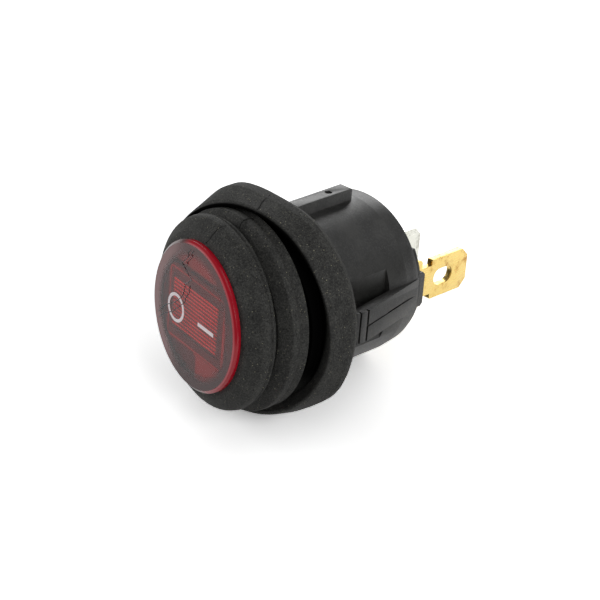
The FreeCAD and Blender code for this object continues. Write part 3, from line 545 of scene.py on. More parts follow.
@dataclass(frozen=True)
class CarrierPlastic:
    """Black moulded carrier behind the lens: red light from the lens lies on parts of it."""

    name: str
    dark: str = "#341414"
    glow: str = "#642423"
    line: str = "#702827"
    above: tuple[float, float] = (4.9, 5.3)
    below: tuple[float, float] = (-4.4, -4.7)
    right_half: tuple[float, float] = (-0.1, 0.2)
    right_side: tuple[float, float] = (5.8, 6.1)
    not_high: tuple[float, float] = (2.0, 1.5)
    outline_centre: tuple[float, float] = (0.05, -0.1)
    outline_half: tuple[float, float] = (5.8, 4.25)
    outline_corner: float = 0.6
    outline_width: float = 0.11

    def build(self) -> bpy.types.Material:
        """Build the material: dark frame, redder fields round it and a thin red outline."""
        material, tree, where = bare_material(self.name)
        axes = add(tree, AXES, None, {"Vector": rocker_place(tree, where)}).outputs
        spans = (("Z", self.above), ("Z", self.below), ("X", self.right_half), ("X", self.right_side),
                 ("Z", self.not_high))
        above, below, right_half, right_side, not_high = [
            add(tree, RANGE, STEP, {"Value": axes[axis], **between(*span, MM)}) for axis, span in spans]
        low_field = add(tree, MATH, TIMES, {0: below, 1: right_half})
        strip = add(tree, MATH, TIMES, {0: right_side, 1: not_high})
        two_fields = add(tree, MATH, LARGER, {0: above, 1: low_field})
        fields = add(tree, MATH, LARGER, {0: two_fields, 1: strip})
        out = out_of_frame(tree, axes, self.outline_centre, self.outline_half, self.outline_corner)
        off_line = add(tree, MATH, SIZE_OF, {0: out})
        on_line = add(tree, RANGE, STEP, {"Value": off_line, **between(self.outline_width,
                                                                       self.outline_width / 2.0, MM)})
        colour = linear(self.dark)
        for amount, shade in ((fields, self.glow), (on_line, self.line)):
            colour = add(tree, MIX, COLOURS, {SHARE: amount, FIRST: colour, SECOND: linear(shade)})
        shader = add(tree, PRINCIPLED, None, {"Base Color": colour, "Roughness": 0.5,
                                              "Specular IOR Level": 0.05})
        add(tree, "ShaderNodeOutputMaterial", None, {"Surface": shader})
        return material


@dataclass(frozen=True)
class CloudedFinish:
    """A plain finish with no texture of its own: two close colours in soft clouds."""

    name: str
    colour: str
    shade: str
    roughness: float = 0.4
    metallic: float = 0.0
    cloud: float = 0.8
    detail: float = 4.0
    cloud_span: tuple[float, float] = (0.35, 0.7)

    def build(self) -> bpy.types.Material:
        """Build the material: two close colours mixed by a fine noise."""
        material, tree, where = bare_material(self.name)
        cloud = add(tree, NOISE, None, {"Vector": where, "Scale": per_mm(self.cloud),
                                        "Detail": self.detail})
        share = add(tree, RANGE, STEP, {"Value": cloud, **between(*self.cloud_span)})
        colour = add(tree, MIX, COLOURS, {SHARE: share, FIRST: linear(self.colour),
                                          SECOND: linear(self.shade)})
        shader = add(tree, PRINCIPLED, None, {"Base Color": colour, "Roughness": self.roughness,
                                              "Metallic": self.metallic})
        add(tree, "ShaderNodeOutputMaterial", None, {"Surface": shader})
        return material


@dataclass(frozen=True)
class WhitePaperFloor:
    """White background paper: it photographs as plain white and keeps the switch's soft shadow."""

    name: str
    colour: str = "#b4b4b4"
    exposure: float = 2.1
    mirrored: float = 1.45

    def build(self) -> bpy.types.Material:
        """Build the material: paper that is brightened for the camera, gloss and glass alone."""
        material, tree, _ = bare_material(self.name)
        path = add(tree, PATH).outputs
        other = add(tree, MATH, LARGER, {0: path["Is Glossy Ray"], 1: path["Is Transmission Ray"]})
        shade = linear(self.colour)
        for seen, level in ((other, self.mirrored), (path["Is Camera Ray"], self.exposure)):
            shade = add(tree, MIX, COLOURS, {SHARE: seen, FIRST: shade, SECOND: (level, level, level, 1.0)})
        lit = add(tree, "ShaderNodeBsdfDiffuse", None, {"Color": shade})
        back = add(tree, "ShaderNodeNewGeometry").outputs["Backfacing"]
        below = add(tree, MATH, TIMES, {0: back, 1: path["Is Camera Ray"]})
        whole = add(tree, SHADERS, None, {0: below, 1: lit, 2: add(tree, CLEAR)})
        add(tree, "ShaderNodeOutputMaterial", None, {"Surface": whole})
        return material


def rounded_profile(corners: list[tuple[float, float, float]],
                    steps: int = 7) -> list[tuple[float, float]]:
    """Round the corners of a section line.

    Args:
        corners: (radius from the axis, y, corner radius) for each corner, in millimetres.
        steps: Straight steps along each rounded corner.

    Returns:
        The points of the rounded line.
    """
    points = []
    for i, (u, v, radius) in enumerate(corners):
        corner = Vector((u, v))
        if radius <= 0.0:
            points.append((u, v))
            continue
        before = (Vector(corners[i - 1][:2]) - corner).normalized()
        after = (Vector(corners[(i + 1) % len(corners)][:2]) - corner).normalized()
        half = before.angle(after) / 2.0
        cut = radius / math.tan(half)
        centre = corner + (before + after).normalized() * (radius / math.sin(half))
        start, end = corner + before * cut - centre, corner + after * cut - centre
        sweep = start.angle_signed(end)
        for k in range(steps + 1):
            turned = Matrix.Rotation(-sweep * k / steps, 2) @ start
            points.append(tuple(centre + turned))
    return points


def turned_tree() -> bpy.types.NodeTree:
    """Build the node tree that turns a section about Y and sets it at its lean.

    Returns:
        The Geometry Nodes tree, with inputs Section, Points Across, Closed, Steps Round, Lean,
        Pivot and Finish.
    """
    tree = bpy.data.node_groups.new("turned_about_axis", "GeometryNodeTree")
    sockets = (("Section", "Geometry"), ("Points Across", "Int"), ("Closed", "Int"),
               ("Steps Round", "Int"), ("Lean", "Float"), ("Pivot", "Vector"), ("Finish", "Material"))
    for name, kind in sockets:
        tree.interface.new_socket(name, in_out="INPUT", socket_type="NodeSocket" + kind)
    tree.interface.new_socket("Form", in_out="OUTPUT", socket_type="NodeSocketGeometry")
    given = add(tree, "NodeGroupInput").outputs
    over = {"operation": "DIVIDE"}
    # The grid's rows are the steps round the axis and its columns the points of the section.
    columns = add(tree, MATH, PLUS, {0: given["Points Across"], 1: given["Closed"]})
    rows = add(tree, MATH, PLUS, {0: given["Steps Round"], 1: 1.0})
    grid = add(tree, "GeometryNodeMeshGrid", None, {"Vertices X": rows, "Vertices Y": columns})
    index = add(tree, "GeometryNodeInputIndex")
    row = add(tree, MATH, over, {0: add(tree, MATH, PLUS, {0: index, 1: 0.5}), 1: columns})
    step = add(tree, MATH, {"operation": "FLOOR"}, {0: row})
    passed = add(tree, MATH, TIMES, {0: step, 1: columns})
    across = add(tree, MATH, MINUS, {0: index, 1: passed})
    point = add(tree, MATH, {"operation": "MODULO"}, {0: across, 1: given["Points Across"]})
    sampled = add(tree, "GeometryNodeSampleIndex", {"data_type": "FLOAT_VECTOR", "domain": "POINT"},
                  {"Geometry": given["Section"], "Value": add(tree, "GeometryNodeInputPosition"),
                   "Index": point})
    section = add(tree, AXES, None, {0: sampled}).outputs
    turn = add(tree, MATH, over, {0: step, 1: given["Steps Round"]})
    angle = add(tree, MATH, TIMES, {0: turn, 1: 2.0 * math.pi})
    x, z = [add(tree, MATH, TIMES, {0: section[0], 1: add(tree, MATH, {"operation": wave}, {0: angle})})
            for wave in ("COSINE", "SINE")]
    ring = add(tree, "ShaderNodeCombineXYZ", None, {0: x, 1: section[1], 2: z})
    lean = add(tree, "ShaderNodeVectorRotate", {"rotation_type": "Z_AXIS"},
               {"Vector": ring, "Angle": add(tree, MATH, TIMES, {0: given["Lean"], 1: -1.0})})
    stands = add(tree, VECTOR, PLUS, {0: lean, 1: given["Pivot"]})
    form = add(tree, "GeometryNodeSetPosition", None, {"Geometry": grid, "Position": stands})
    form = add(tree, "GeometryNodeMergeByDistance", None, {"Geometry": form, "Distance": MERGE_DISTANCE})
    form = add(tree, "GeometryNodeRealizeInstances", None, {"Geometry": form})
    form = add(tree, "GeometryNodeSetMaterial", None, {"Geometry": form, "Material": given["Finish"]})
    add(tree, "NodeGroupOutput", None, {0: form})
    return tree


def made_plain(piece: bpy.types.Object) -> None:
    """Turn a piece's modifiers into its plain mesh and take them off.

    Args:
        piece: The piece with its modifiers.
    """
    graph = bpy.context.evaluated_depsgraph_get()
    mesh = bpy.data.meshes.new_from_object(piece.evaluated_get(graph), depsgraph=graph)
    piece.modifiers.clear()
    piece.data = mesh


def finished_mesh(mesh: bpy.types.Mesh, turn_out: bool = True) -> None:
    """Clean a mesh, turn its faces outwards and shade it smooth with sharp creases kept.

    Args:
        mesh: The mesh to clean.
        turn_out: False keeps the faces' directions as they are.
    """
    work = bmesh.new()
    work.from_mesh(mesh)
    bmesh.ops.dissolve_degenerate(work, dist=MERGE_DISTANCE, edges=work.edges)
    bmesh.ops.delete(work, geom=[e for e in work.edges if not e.link_faces], context="EDGES")
    bmesh.ops.delete(work, geom=[v for v in work.verts if not v.link_faces], context="VERTS")
    if turn_out:
        bmesh.ops.recalc_face_normals(work, faces=work.faces)
    work.to_mesh(mesh)
    work.free()
    mesh.shade_smooth()
    mesh.set_sharp_from_angle(angle=SMOOTH_ANGLE)


def new_piece(name: str, mesh: bpy.types.Mesh) -> bpy.types.Object:
    """Link a new object that stands at the origin.

    Args:
        name: The object's name.
        mesh: Its mesh.

    Returns:
        The new object.
    """
    piece = bpy.data.objects.new(name, mesh)
    bpy.context.scene.collection.objects.link(piece)
    return piece


def turned_piece(name: str, corners: list[tuple[float, float, float]], lean: Lean,
                 tree: bpy.types.NodeTree, finish: bpy.types.Material,
                 closed: bool = True) -> bpy.types.Object:
    """Make a turned piece from its section with the turning tree.

    Args:
        name: The piece's name.
        corners: Radius, y and corner radius of the section's corners in millimetres, in the
            piece's own frame.
        lean: How far the piece leans at rest. A leaning piece is drawn with the pivot as its origin.
        tree: The turning tree.
        finish: The piece's material.
        closed: True where the section is a closed line clear of the axis.

    Returns:
        The new object.
    """
    section = rounded_profile(corners)
    mesh = bpy.data.meshes.new(name)
    mesh.from_pydata([(r * MM, y * MM, 0.0) for r, y in section], [], [])
    piece = new_piece(name, mesh)
    lathe = piece.modifiers.new("turned", "NODES")
    lathe.node_group = tree
    values = {"Points Across": len(section), "Closed": int(closed), "Steps Round": ROUND_STEPS,
              "Lean": math.radians(lean.value), "Finish": finish,
              "Pivot": (0.0, 0.0, 0.0) if lean is Lean.FLANGE else tuple(PIVOT)}
    for item in tree.interface.items_tree:
        if item.in_out == "INPUT" and item.name in values:
            lathe[item.identifier] = values[item.name]
    made_plain(piece)
    finished_mesh(piece.data)
    return piece


def skin_of(node: str, finish: bpy.types.Material, soften: float = 0.0,
            crease_at: float | None = None, rides: bool = True) -> bpy.types.Object:
    """Make a smooth-shaded copy of a CAD node, joined at its corners, that stands in for it.

    Args:
        node: The CAD node's name.
        finish: The copy's material.
        soften: Width of the small radius on its edges, in millimetres.
        crease_at: The y of a shallow crease to keep sharp, in millimetres.
        rides: True sets the copy on the node's body. A spring bends between two bodies and is False.

    Returns:
        The copy.
    """
    source = frame["nodes"][node]
    mesh = source.data.copy()
    mesh.materials.clear()
    mesh.materials.append(finish)
    work = bmesh.new()
    work.from_mesh(mesh)
    bmesh.ops.remove_doubles(work, verts=work.verts, dist=MERGE_DISTANCE)
    bmesh.ops.dissolve_limit(work, angle_limit=FLAT_ANGLE, verts=work.verts, edges=work.edges)
    work.to_mesh(mesh)
    work.free()
    mesh.name = node + "_skin"
    piece = new_piece(node + "_skin", mesh)
    if soften > 0.0:
        rounding = piece.modifiers.new("softened", "BEVEL")
        rounding.width, rounding.segments = soften * MM, 2
        rounding.limit_method, rounding.angle_limit = "ANGLE", SOFT_ANGLE
        made_plain(piece)
    piece.data.shade_smooth()
    piece.data.set_sharp_from_angle(angle=SMOOTH_ANGLE)
    if crease_at is not None:
        points = piece.data.vertices
        for edge in piece.data.edges:
            if all(abs(points[k].co.y - crease_at * MM) < 0.02 * MM for k in edge.vertices):
                edge.use_edge_sharp = True
    if rides:
        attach(piece, body_of(source)[0])
    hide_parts(node)
    return piece


def report(piece: bpy.types.Object, what: str) -> None:
    """Log a finished piece with its size in triangles."""
    count = sum(len(p.vertices) - 2 for p in piece.data.polygons)
    LOG.info("%s: %s, %d triangles", piece.name, what, count)


def ramp(value: float, start: float, end: float) -> float:
    """Give 0 up to start, 1 from end on and a straight line between."""
    return min(max((value - start) / (end - start), 0.0), 1.0)


def swell_at(around: float, swells: tuple[tuple[float, float, float], ...]) -> float:
    """The height of soft swells at an angle.

    Args:
        around: The angle round the Y axis from +X towards +Z, in degrees.
        swells: The angle of each swell's middle, its width in degrees and its height in millimetres.

    Returns:
        The sum of their heights in millimetres.
    """
    return sum(height * math.exp(-(((around - middle + 180.0) % 360.0 - 180.0) / width) ** 2)
               for middle, width, height in swells)


@dataclass
class Boot:
    """The rubber boot: a flange round the bezel and two bellows rings that lean with the rocker."""

    lathe: bpy.types.NodeTree
    rubber: bpy.types.Material
    ring_rubber: bpy.types.Material
    flange_section: list[tuple[float, float, float]] = field(default_factory=lambda: [
        (12.0, -0.15, 0.0), (12.0, 0.0, 0.06), (13.05, 0.0, 0.08), (13.4, -0.7, 0.6), (13.4, -2.0, 0.8),
        (12.78, -4.5, 0.25), (12.5, -5.05, 0.16), (12.2, -4.95, 0.16), (11.5, -3.4, 0.3),
        (10.75, -3.3, 0.2), (10.75, -4.65, 0.2), (9.3, -4.65, 0.0), (9.3, -4.1, 0.0), (10.2, -4.1, 0.0),
        (10.2, -2.25, 0.0), (11.45, -2.25, 0.0), (11.45, -0.7, 0.0), (9.85, -0.7, 0.0),
        (9.85, -0.15, 0.0)])
    ring_two_section: list[tuple[float, float, float]] = field(default_factory=lambda: [
        (8.95, -5.1, 0.0), (9.95, -5.1, 0.13), (11.6, -4.25, 0.25), (11.6, -3.35, 0.2),
        (11.1, -2.85, 0.15), (11.5, -2.0, 0.12), (11.25, -1.75, 0.1), (9.95, -1.7, 0.0),
        (9.95, -0.9, 0.0), (8.95, -0.9, 0.0)])
    ring_one_section: list[tuple[float, float, float]] = field(default_factory=lambda: [
        (7.85, -8.25, 0.0), (8.9, -8.25, 0.0), (9.8, -8.0, 0.8), (11.25, -6.85, 1.2), (11.4, -5.9, 0.13),
        (10.98, -5.63, 0.13), (11.2, -5.33, 0.13), (11.0, -4.95, 0.13), (9.8, -4.95, 0.0),
        (9.8, -3.15, 0.0), (8.8, -3.15, 0.0), (8.8, -7.35, 0.0), (7.85, -7.35, 0.0)])
    ring_two_share: float = 0.594
    blend_reach: float = 20.0
    soft_radii: tuple[float, float] = (11.0, 11.9)
    lip_lean: float = 4.7
    lip_lean_left: float = 2.4
    lean_depths: tuple[float, float] = (0.7, 3.0)
    swells: tuple[tuple[float, float, float], ...] = (
        (116.0, 15.0, 0.66), (85.0, 17.0, -0.34), (-55.0, 15.0, -0.25), (15.0, 32.0, 0.16),
        (-30.0, 12.0, 0.25))
    crest_depths: tuple[float, float] = (3.1, 4.9)
    crest_swells: tuple[tuple[float, float, float], ...] = ((-5.0, 34.0, 0.4),)
    wall_span: tuple[float, float] = (-4.95, -3.4)
    wall_back: float = -3.1
    wall_radius: float = 12.35
    wall_flare: tuple[float, float] = (0.6, 0.5)
    root_stop: float = -2.3
    bulge_radii: tuple[float, float] = (10.2, 11.2)
    back_swells: tuple[tuple[float, float, float], ...] = ((-62.0, 34.0, 0.2), (112.0, 45.0, 0.3))

    def settle(self, mesh: bpy.types.Mesh) -> None:
        """Press the soft flange to its lie in the photograph: a lip that leans and a band that swells.

        Args:
            mesh: The turned flange, in metres.
        """
        for vert in mesh.vertices:
            x, y, z = (c / MM for c in vert.co)
            radius = math.hypot(x, z)
            if radius < self.soft_radii[0]:
                continue
            around = math.degrees(math.atan2(z, x))
            share = ramp(-y, *self.lean_depths)
            lean = self.lip_lean if x > 0.0 else self.lip_lean_left
            y_new = y + share * share * (3.0 - 2.0 * share) * math.tan(math.radians(lean)) * x
            crest = ramp(-y, *self.crest_depths)
            band = swell_at(around, self.swells)
            swell = band + crest * (swell_at(around, self.crest_swells) - band)
            grown = radius + swell * ramp(radius, *self.soft_radii)
            if radius < self.wall_radius and y < self.wall_back:
                flare = ramp(y, *self.wall_span) * max(x / radius, 0.0)
                grown -= self.wall_flare[0] * flare
                y_new -= self.wall_flare[1] * flare
            vert.co = Vector((x * grown / radius, y_new, z * grown / radius)) * MM

    def bend(self, piece: bpy.types.Object) -> None:
        """Let a piece turn whole at ring two's share of the rocker's way.

        Args:
            piece: The ring or a thread that lies on it.
        """
        # Every point lies at the same share of a very long way.
        start = (0.0, self.blend_reach * self.ring_two_share, 0.0)
        end = (0.0, -self.blend_reach * (1.0 - self.ring_two_share), 0.0)
        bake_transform(piece, "housing_body", "rocker_body", start=start, end=end)

    def build(self) -> None:
        """Turn the three parts of the boot and set each on what it moves with."""
        flange = turned_piece("boot_flange", self.flange_section, Lean.FLANGE, self.lathe, self.rubber)
        self.settle(flange.data)
        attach(flange, "housing_body")
        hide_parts("boot")
        ring_one = turned_piece("boot_ring_one", self.ring_one_section, Lean.ROCKER, self.lathe,
                                self.ring_rubber)
        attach(ring_one, "rocker_body")
        ring_two = turned_piece("boot_ring_two", self.ring_two_section, Lean.RING_TWO, self.lathe,
                                self.ring_rubber)
        # The root stays clear of the bezel where the ring leans in, and two sides bulge.
        for vert in ring_two.data.vertices:
            vert.co.y = min(vert.co.y, self.root_stop * MM)
            radius = math.hypot(vert.co.x, vert.co.z) / MM
            around = math.degrees(math.atan2(vert.co.z, vert.co.x))
            bulge = ramp(radius, *self.bulge_radii) * swell_at(around, self.back_swells)
            grown = 1.0 + bulge / radius
            vert.co.x *= grown
            vert.co.z *= grown
        self.bend(ring_two)
        for piece, what in ((flange, "flange"), (ring_one, "front bellows ring"),
                            (ring_two, "back bellows ring")):
            report(piece, what)


@dataclass
class RockerFace:
    """The rocker's front: the red lens with its printed marks, the ribbed window and the carrier."""

    lathe: bpy.types.NodeTree
    clear_red: bpy.types.Material
    ink: bpy.types.Material
    window_red: bpy.types.Material
    carrier: bpy.types.Material
    lens_section: list[tuple[float, float, float]] = field(default_factory=lambda: [
        (0.0, -9.1, 0.0), (8.55, -9.1, 0.07), (8.9, -8.75, 0.07), (8.9, -8.25, 0.05), (7.8, -8.25, 0.0),
        (7.8, -7.35, 0.0), (7.1, -7.35, 0.0), (7.1, -8.25, 0.0), (0.0, -8.25, 0.0)])
    face: float = 9.1
    ink_height: float = 0.03
    ink_root: float = 0.01
    ring_centre: tuple[float, float] = (-3.65, -0.37)
    ring_radius: float = 1.77
    ring_stroke: float = 0.38
    bar_centre: tuple[float, float] = (2.83, -0.35)
    bar_size: tuple[float, float] = (3.35, 0.46)
    bar_corner: float = 0.08
    ring_steps: int = 96

    def mark(self, name: str, outline: list[tuple[float, float]],
             hole: list[tuple[float, float]]) -> bpy.types.Object:
        """Make a printed mark as a thin slab on the lens's face.

        Args:
            name: The piece's name.
            outline: (x, z) points in the rocker's frame, in millimetres.
            hole: Points of an inner outline, as many as the outer one has, or none.

        Returns:
            The mark's object.
        """
        low, high = -(self.face - self.ink_root), -(self.face + self.ink_height)
        work = bmesh.new()
        loops = [[work.verts.new((x * MM, y * MM, z * MM)) for x, z in line]
                 for line in (outline, hole) if line for y in (low, high)]
        count = len(outline)
        walls = [(loops[0], loops[1])] + ([(loops[3], loops[2])] if hole else [])
        if hole:
            walls += [(loops[2], loops[0]), (loops[1], loops[3])]
        for first, second in walls:
            for k in range(count):
                nxt = (k + 1) % count
                work.faces.new((first[k], first[nxt], second[nxt], second[k]))
        if not hole:
            work.faces.new(loops[0])
            work.faces.new(loops[1])
        bmesh.ops.recalc_face_normals(work, faces=work.faces)
        bmesh.ops.transform(work, matrix=leaned(Lean.ROCKER), verts=work.verts)
        mesh = bpy.data.meshes.new(name)
        work.to_mesh(mesh)
        work.free()
        mesh.materials.append(self.ink)
        return new_piece(name, mesh)

    def build(self) -> None:
        """Make the lens and its marks, and dress the window and the carrier."""
        lens = turned_piece("lens_disc", self.lens_section, Lean.ROCKER, self.lathe, self.clear_red,
                            closed=False)
        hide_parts("lens")
        angles = [2.0 * math.pi * k / self.ring_steps for k in range(self.ring_steps)]
        x, z = self.ring_centre
        rings = [[(x + r * math.cos(a), z + r * math.sin(a)) for a in angles]
                 for r in (self.ring_radius, self.ring_radius - self.ring_stroke)]
        off_mark = self.mark("mark_off_ring", rings[0], rings[1])
        half_x, half_z = self.bar_size[0] / 2.0, self.bar_size[1] / 2.0
        bar = rounded_profile([(x * half_x, z * half_z, self.bar_corner)
                               for x, z in ((-1, -1), (1, -1), (1, 1), (-1, 1))])
        x, z = self.bar_centre
        on_mark = self.mark("mark_on_bar", [(x + dx, z + dz) for dx, dz in bar], [])
        for piece in (lens, off_mark, on_mark):
            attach(piece, "rocker_body")
            report(piece, "rocker face")
        for node, finish in (("window", self.window_red), ("rocker", self.carrier)):
            dress(node, finish)


def thread(name: str, points: tuple[tuple[float, float, float], ...], radius: float,
           finish: bpy.types.Material) -> bpy.types.Object:
    """Make a fine round thread along a line.

    Args:
        name: The piece's name.
        points: (x, y, z) of the line in millimetres, in the switch's frame at rest.
        radius: The thread's radius in millimetres.
        finish: The thread's material.

    Returns:
        The thread's object.
    """
    curve = bpy.data.curves.new(name, "CURVE")
    curve.dimensions, curve.bevel_depth, curve.bevel_resolution = "3D", radius * MM, 1
    curve.use_fill_caps = True
    spline = curve.splines.new("POLY")
    spline.points.add(len(points) - 1)
    for spot, (x, y, z) in zip(spline.points, points):
        spot.co = (x * MM, y * MM, z * MM, 1.0)
    drawn = bpy.data.objects.new(name + "_line", curve)
    bpy.context.scene.collection.objects.link(drawn)
    graph = bpy.context.evaluated_depsgraph_get()
    mesh = bpy.data.meshes.new_from_object(drawn.evaluated_get(graph), depsgraph=graph)
    bpy.data.objects.remove(drawn)
    finished_mesh(mesh)
    mesh.materials.clear()
    mesh.materials.append(finish)
    return new_piece(name, mesh)


@dataclass
class CrackLine:
    """The wavy hairline crack that runs from the flange over both rings and across the red face, where a
    second dark line beside it is its painted shadow.
    """

    split_rubber: bpy.types.Material
    lens_split_and_shadow: bpy.types.Material
    boot: Boot
    radius: float = 0.07
    lens_radius: float = 0.06
    on_flange: tuple[tuple[float, float, float], ...] = (
        (-0.47, -1.3, 13.13), (-0.2, -2.2, 13.05), (0.05, -3.11, 12.93), (0.71, -4.25, 12.73),
        (0.84, -4.95, 12.4))
    on_ring_two: tuple[tuple[float, float, float], ...] = (
        (0.53, -4.82, 11.43), (0.6, -5.35, 11.83), (0.64, -6.5, 11.83), (0.6, -6.85, 11.5),
        (0.46, -7.0, 10.8))
    on_ring_one: tuple[tuple[float, float, float], ...] = (
        (-0.3, -8.3, 11.28), (-0.61, -8.81, 11.13), (-0.84, -9.18, 10.78), (-1.11, -9.65, 10.14),
        (-1.08, -9.93, 9.76), (-1.59, -10.02, 9.16))
    # Two lines cross the face: the split and, beside it, its painted shadow.
    on_lens_with_shadow: tuple[tuple[tuple[float, float, float], ...], ...] = (
        ((-3.33, -10.56, 7.82), (-3.81, -10.45, 7.36), (-3.66, -10.49, 6.93), (-4.9, -10.19, 5.58),
         (-4.55, -10.28, 5.3), (-3.41, -10.54, 4.68), (-2.74, -10.7, 4.36)),
        ((-2.74, -10.7, 4.36), (-4.01, -10.4, 3.29), (-4.13, -10.37, 2.49), (-4.56, -10.27, 1.42),
         (-5.11, -10.14, 0.93), (-6.34, -9.85, -0.14), (-7.79, -9.51, -0.93), (-9.29, -9.15, -2.5)),
        ((-2.71, -10.71, 7.96), (-3.18, -10.6, 7.39), (-2.83, -10.68, 7.17), (-3.89, -10.43, 6.09),
         (-3.74, -10.47, 5.78)),
        ((-3.06, -10.63, 3.46), (-3.09, -10.62, 2.7), (-3.72, -10.47, 1.67), (-4.07, -10.39, 0.88),
         (-5.05, -10.16, -0.06), (-6.24, -9.88, -1.11), (-8.31, -9.39, -2.37), (-9.11, -9.2, -3.19)))

    def build(self) -> None:
        """Lay the threads and set each on what it moves with."""
        flange = thread("crack_on_flange", self.on_flange, self.radius, self.split_rubber)
        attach(flange, "housing_body")
        ring_one = thread("crack_on_ring_one", self.on_ring_one, self.radius, self.split_rubber)
        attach(ring_one, "rocker_body")
        ring_two = thread("crack_on_ring_two", self.on_ring_two, self.radius, self.split_rubber)
        self.boot.bend(ring_two)
        for piece in (flange, ring_one, ring_two):
            report(piece, "split in the rubber")
        # Each face line is laid as a thread: the split itself and its painted shadow alike.
        for number, line in enumerate(self.on_lens_with_shadow, start=1):
            piece = thread(f"crack_on_lens_{number}", line, self.lens_radius, self.lens_split_and_shadow)
            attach(piece, "rocker_body")
            report(piece, "split in the lens")


def dress(node: str, finish: bpy.types.Material) -> None:
    """Give a CAD node its finish and leave its shape as it is.

    Args:
        node: The CAD node's name.
        finish: Its material.
    """
    slots = frame["nodes"][node].material_slots
    for slot in slots:
        slot.material = finish
    if not slots:
        frame["nodes"][node].data.materials.append(finish)
    LOG.info("%s: CAD node dressed with %s", node, finish.name)


@dataclass
class Housing:
    """The moulded barrel with its key rib and snap wings, and the terminal base that closes it."""

    nylon: bpy.types.Material
    soften: float = 0.09
    taper_starts: float = 12.4

    def build(self) -> None:
        """Make the smooth skins of the two mouldings."""
        for node in ("housing", "terminal_base"):
            piece = skin_of(node, self.nylon, self.soften, self.taper_starts)
            report(piece, "moulded nylon")


@dataclass
class Terminals:
    """The three flat tabs: silver-plated common and load, and the brass lamp tab nearest the camera."""

    brass: bpy.types.Material
    silver: bpy.types.Material
    soften: float = 0.05

    def build(self) -> None:
        """Make the softened skins of the three tabs."""
        for node, finish, slot in (("lamp_terminal", self.brass, "brass_plate"),
                                   ("common_terminal", self.silver, "silver"),
                                   ("load_terminal", self.silver, "silver")):
            piece = skin_of(node, finish, self.soften)
            report(piece, "flat tab")


@dataclass
class InnerWorks:
    """What the closed switch hides: the plunger, the contacts, the lamp and its circuit."""

    finishes: dict[str, bpy.types.Material]
    steel: bpy.types.Material
    grip: float = 0.5
    coil_grip: float = 0.1

    def spring(self, node: str, near: str, far: str, axis: Vector, grip: float) -> None:
        """Make a spring that stretches between two bodies.

        Args:
            node: The CAD node's name.
            near: The body that holds the spring's start.
            far: The body that moves its other end.
            axis: The direction from the start to the other end.
            grip: How much of each end stays with its body, in millimetres.
        """
        piece = skin_of(node, self.steel, rides=False)
        ways = [axis.dot(v.co - PIVOT) for v in piece.data.vertices]
        start = PIVOT + axis * (min(ways) + grip * MM)
        end = PIVOT + axis * (max(ways) - grip * MM)
        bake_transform(piece, near, far, start=tuple(start), end=tuple(end))
        report(piece, "spring wire")

    def build(self) -> None:
        """Dress the hidden CAD nodes and let the springs bend."""
        for node, finish in self.finishes.items():
            dress(node, finish)
        for node in ("lamp_spring_load", "lamp_spring_ground"):
            self.spring(node, "housing_body", "rocker_body", Vector((0.0, -1.0, 0.0)), self.grip)
        inward = leaned(Lean.ROCKER).to_3x3() @ Vector((0.0, 1.0, 0.0))
        self.spring("plunger_spring", "rocker_body", "plunger_body", inward, self.coil_grip)


@dataclass
class ProductCamera:
    """The camera of the photograph, found from the model's edges in the picture."""

    azimuth: float = 42.2265
    elevation: float = 25.2313
    roll: float = 4.521
    distance: float = 313.6
    lens: float = 163.16
    sensor: float = 36.0
    aim_right: float = 3.148
    aim_up: float = -0.186

    def build(self) -> None:
        """Add the camera and make it the scene's own."""
        az, el, roll = (math.radians(v) for v in (self.azimuth, self.elevation, self.roll))
        ahead = Vector((-math.sin(az) * math.cos(el), math.cos(az) * math.cos(el), -math.sin(el)))
        level = Vector((math.cos(az), math.sin(az), 0.0))
        upright = level.cross(ahead)
        right = level * math.cos(roll) + upright * math.sin(roll)
        up = upright * math.cos(roll) - level * math.sin(roll)
        stand = -ahead * self.distance * MM
        target = (right * self.aim_right + up * self.aim_up) * MM
        look = (target - stand).normalized()
        side = (right - look * right.dot(look)).normalized()
        top = side.cross(look)
        camera = bpy.data.cameras.new("product_camera")
        camera.lens, camera.sensor_width = self.lens, self.sensor
        camera.clip_start, camera.clip_end = 0.02, 5.0
        holder = bpy.data.objects.new("product_camera", camera)
        bpy.context.scene.collection.objects.link(holder)
        turn = Matrix((side, top, -look)).transposed().to_4x4()
        holder.matrix_world = Matrix.Translation(stand) @ turn
        bpy.context.scene.camera = holder


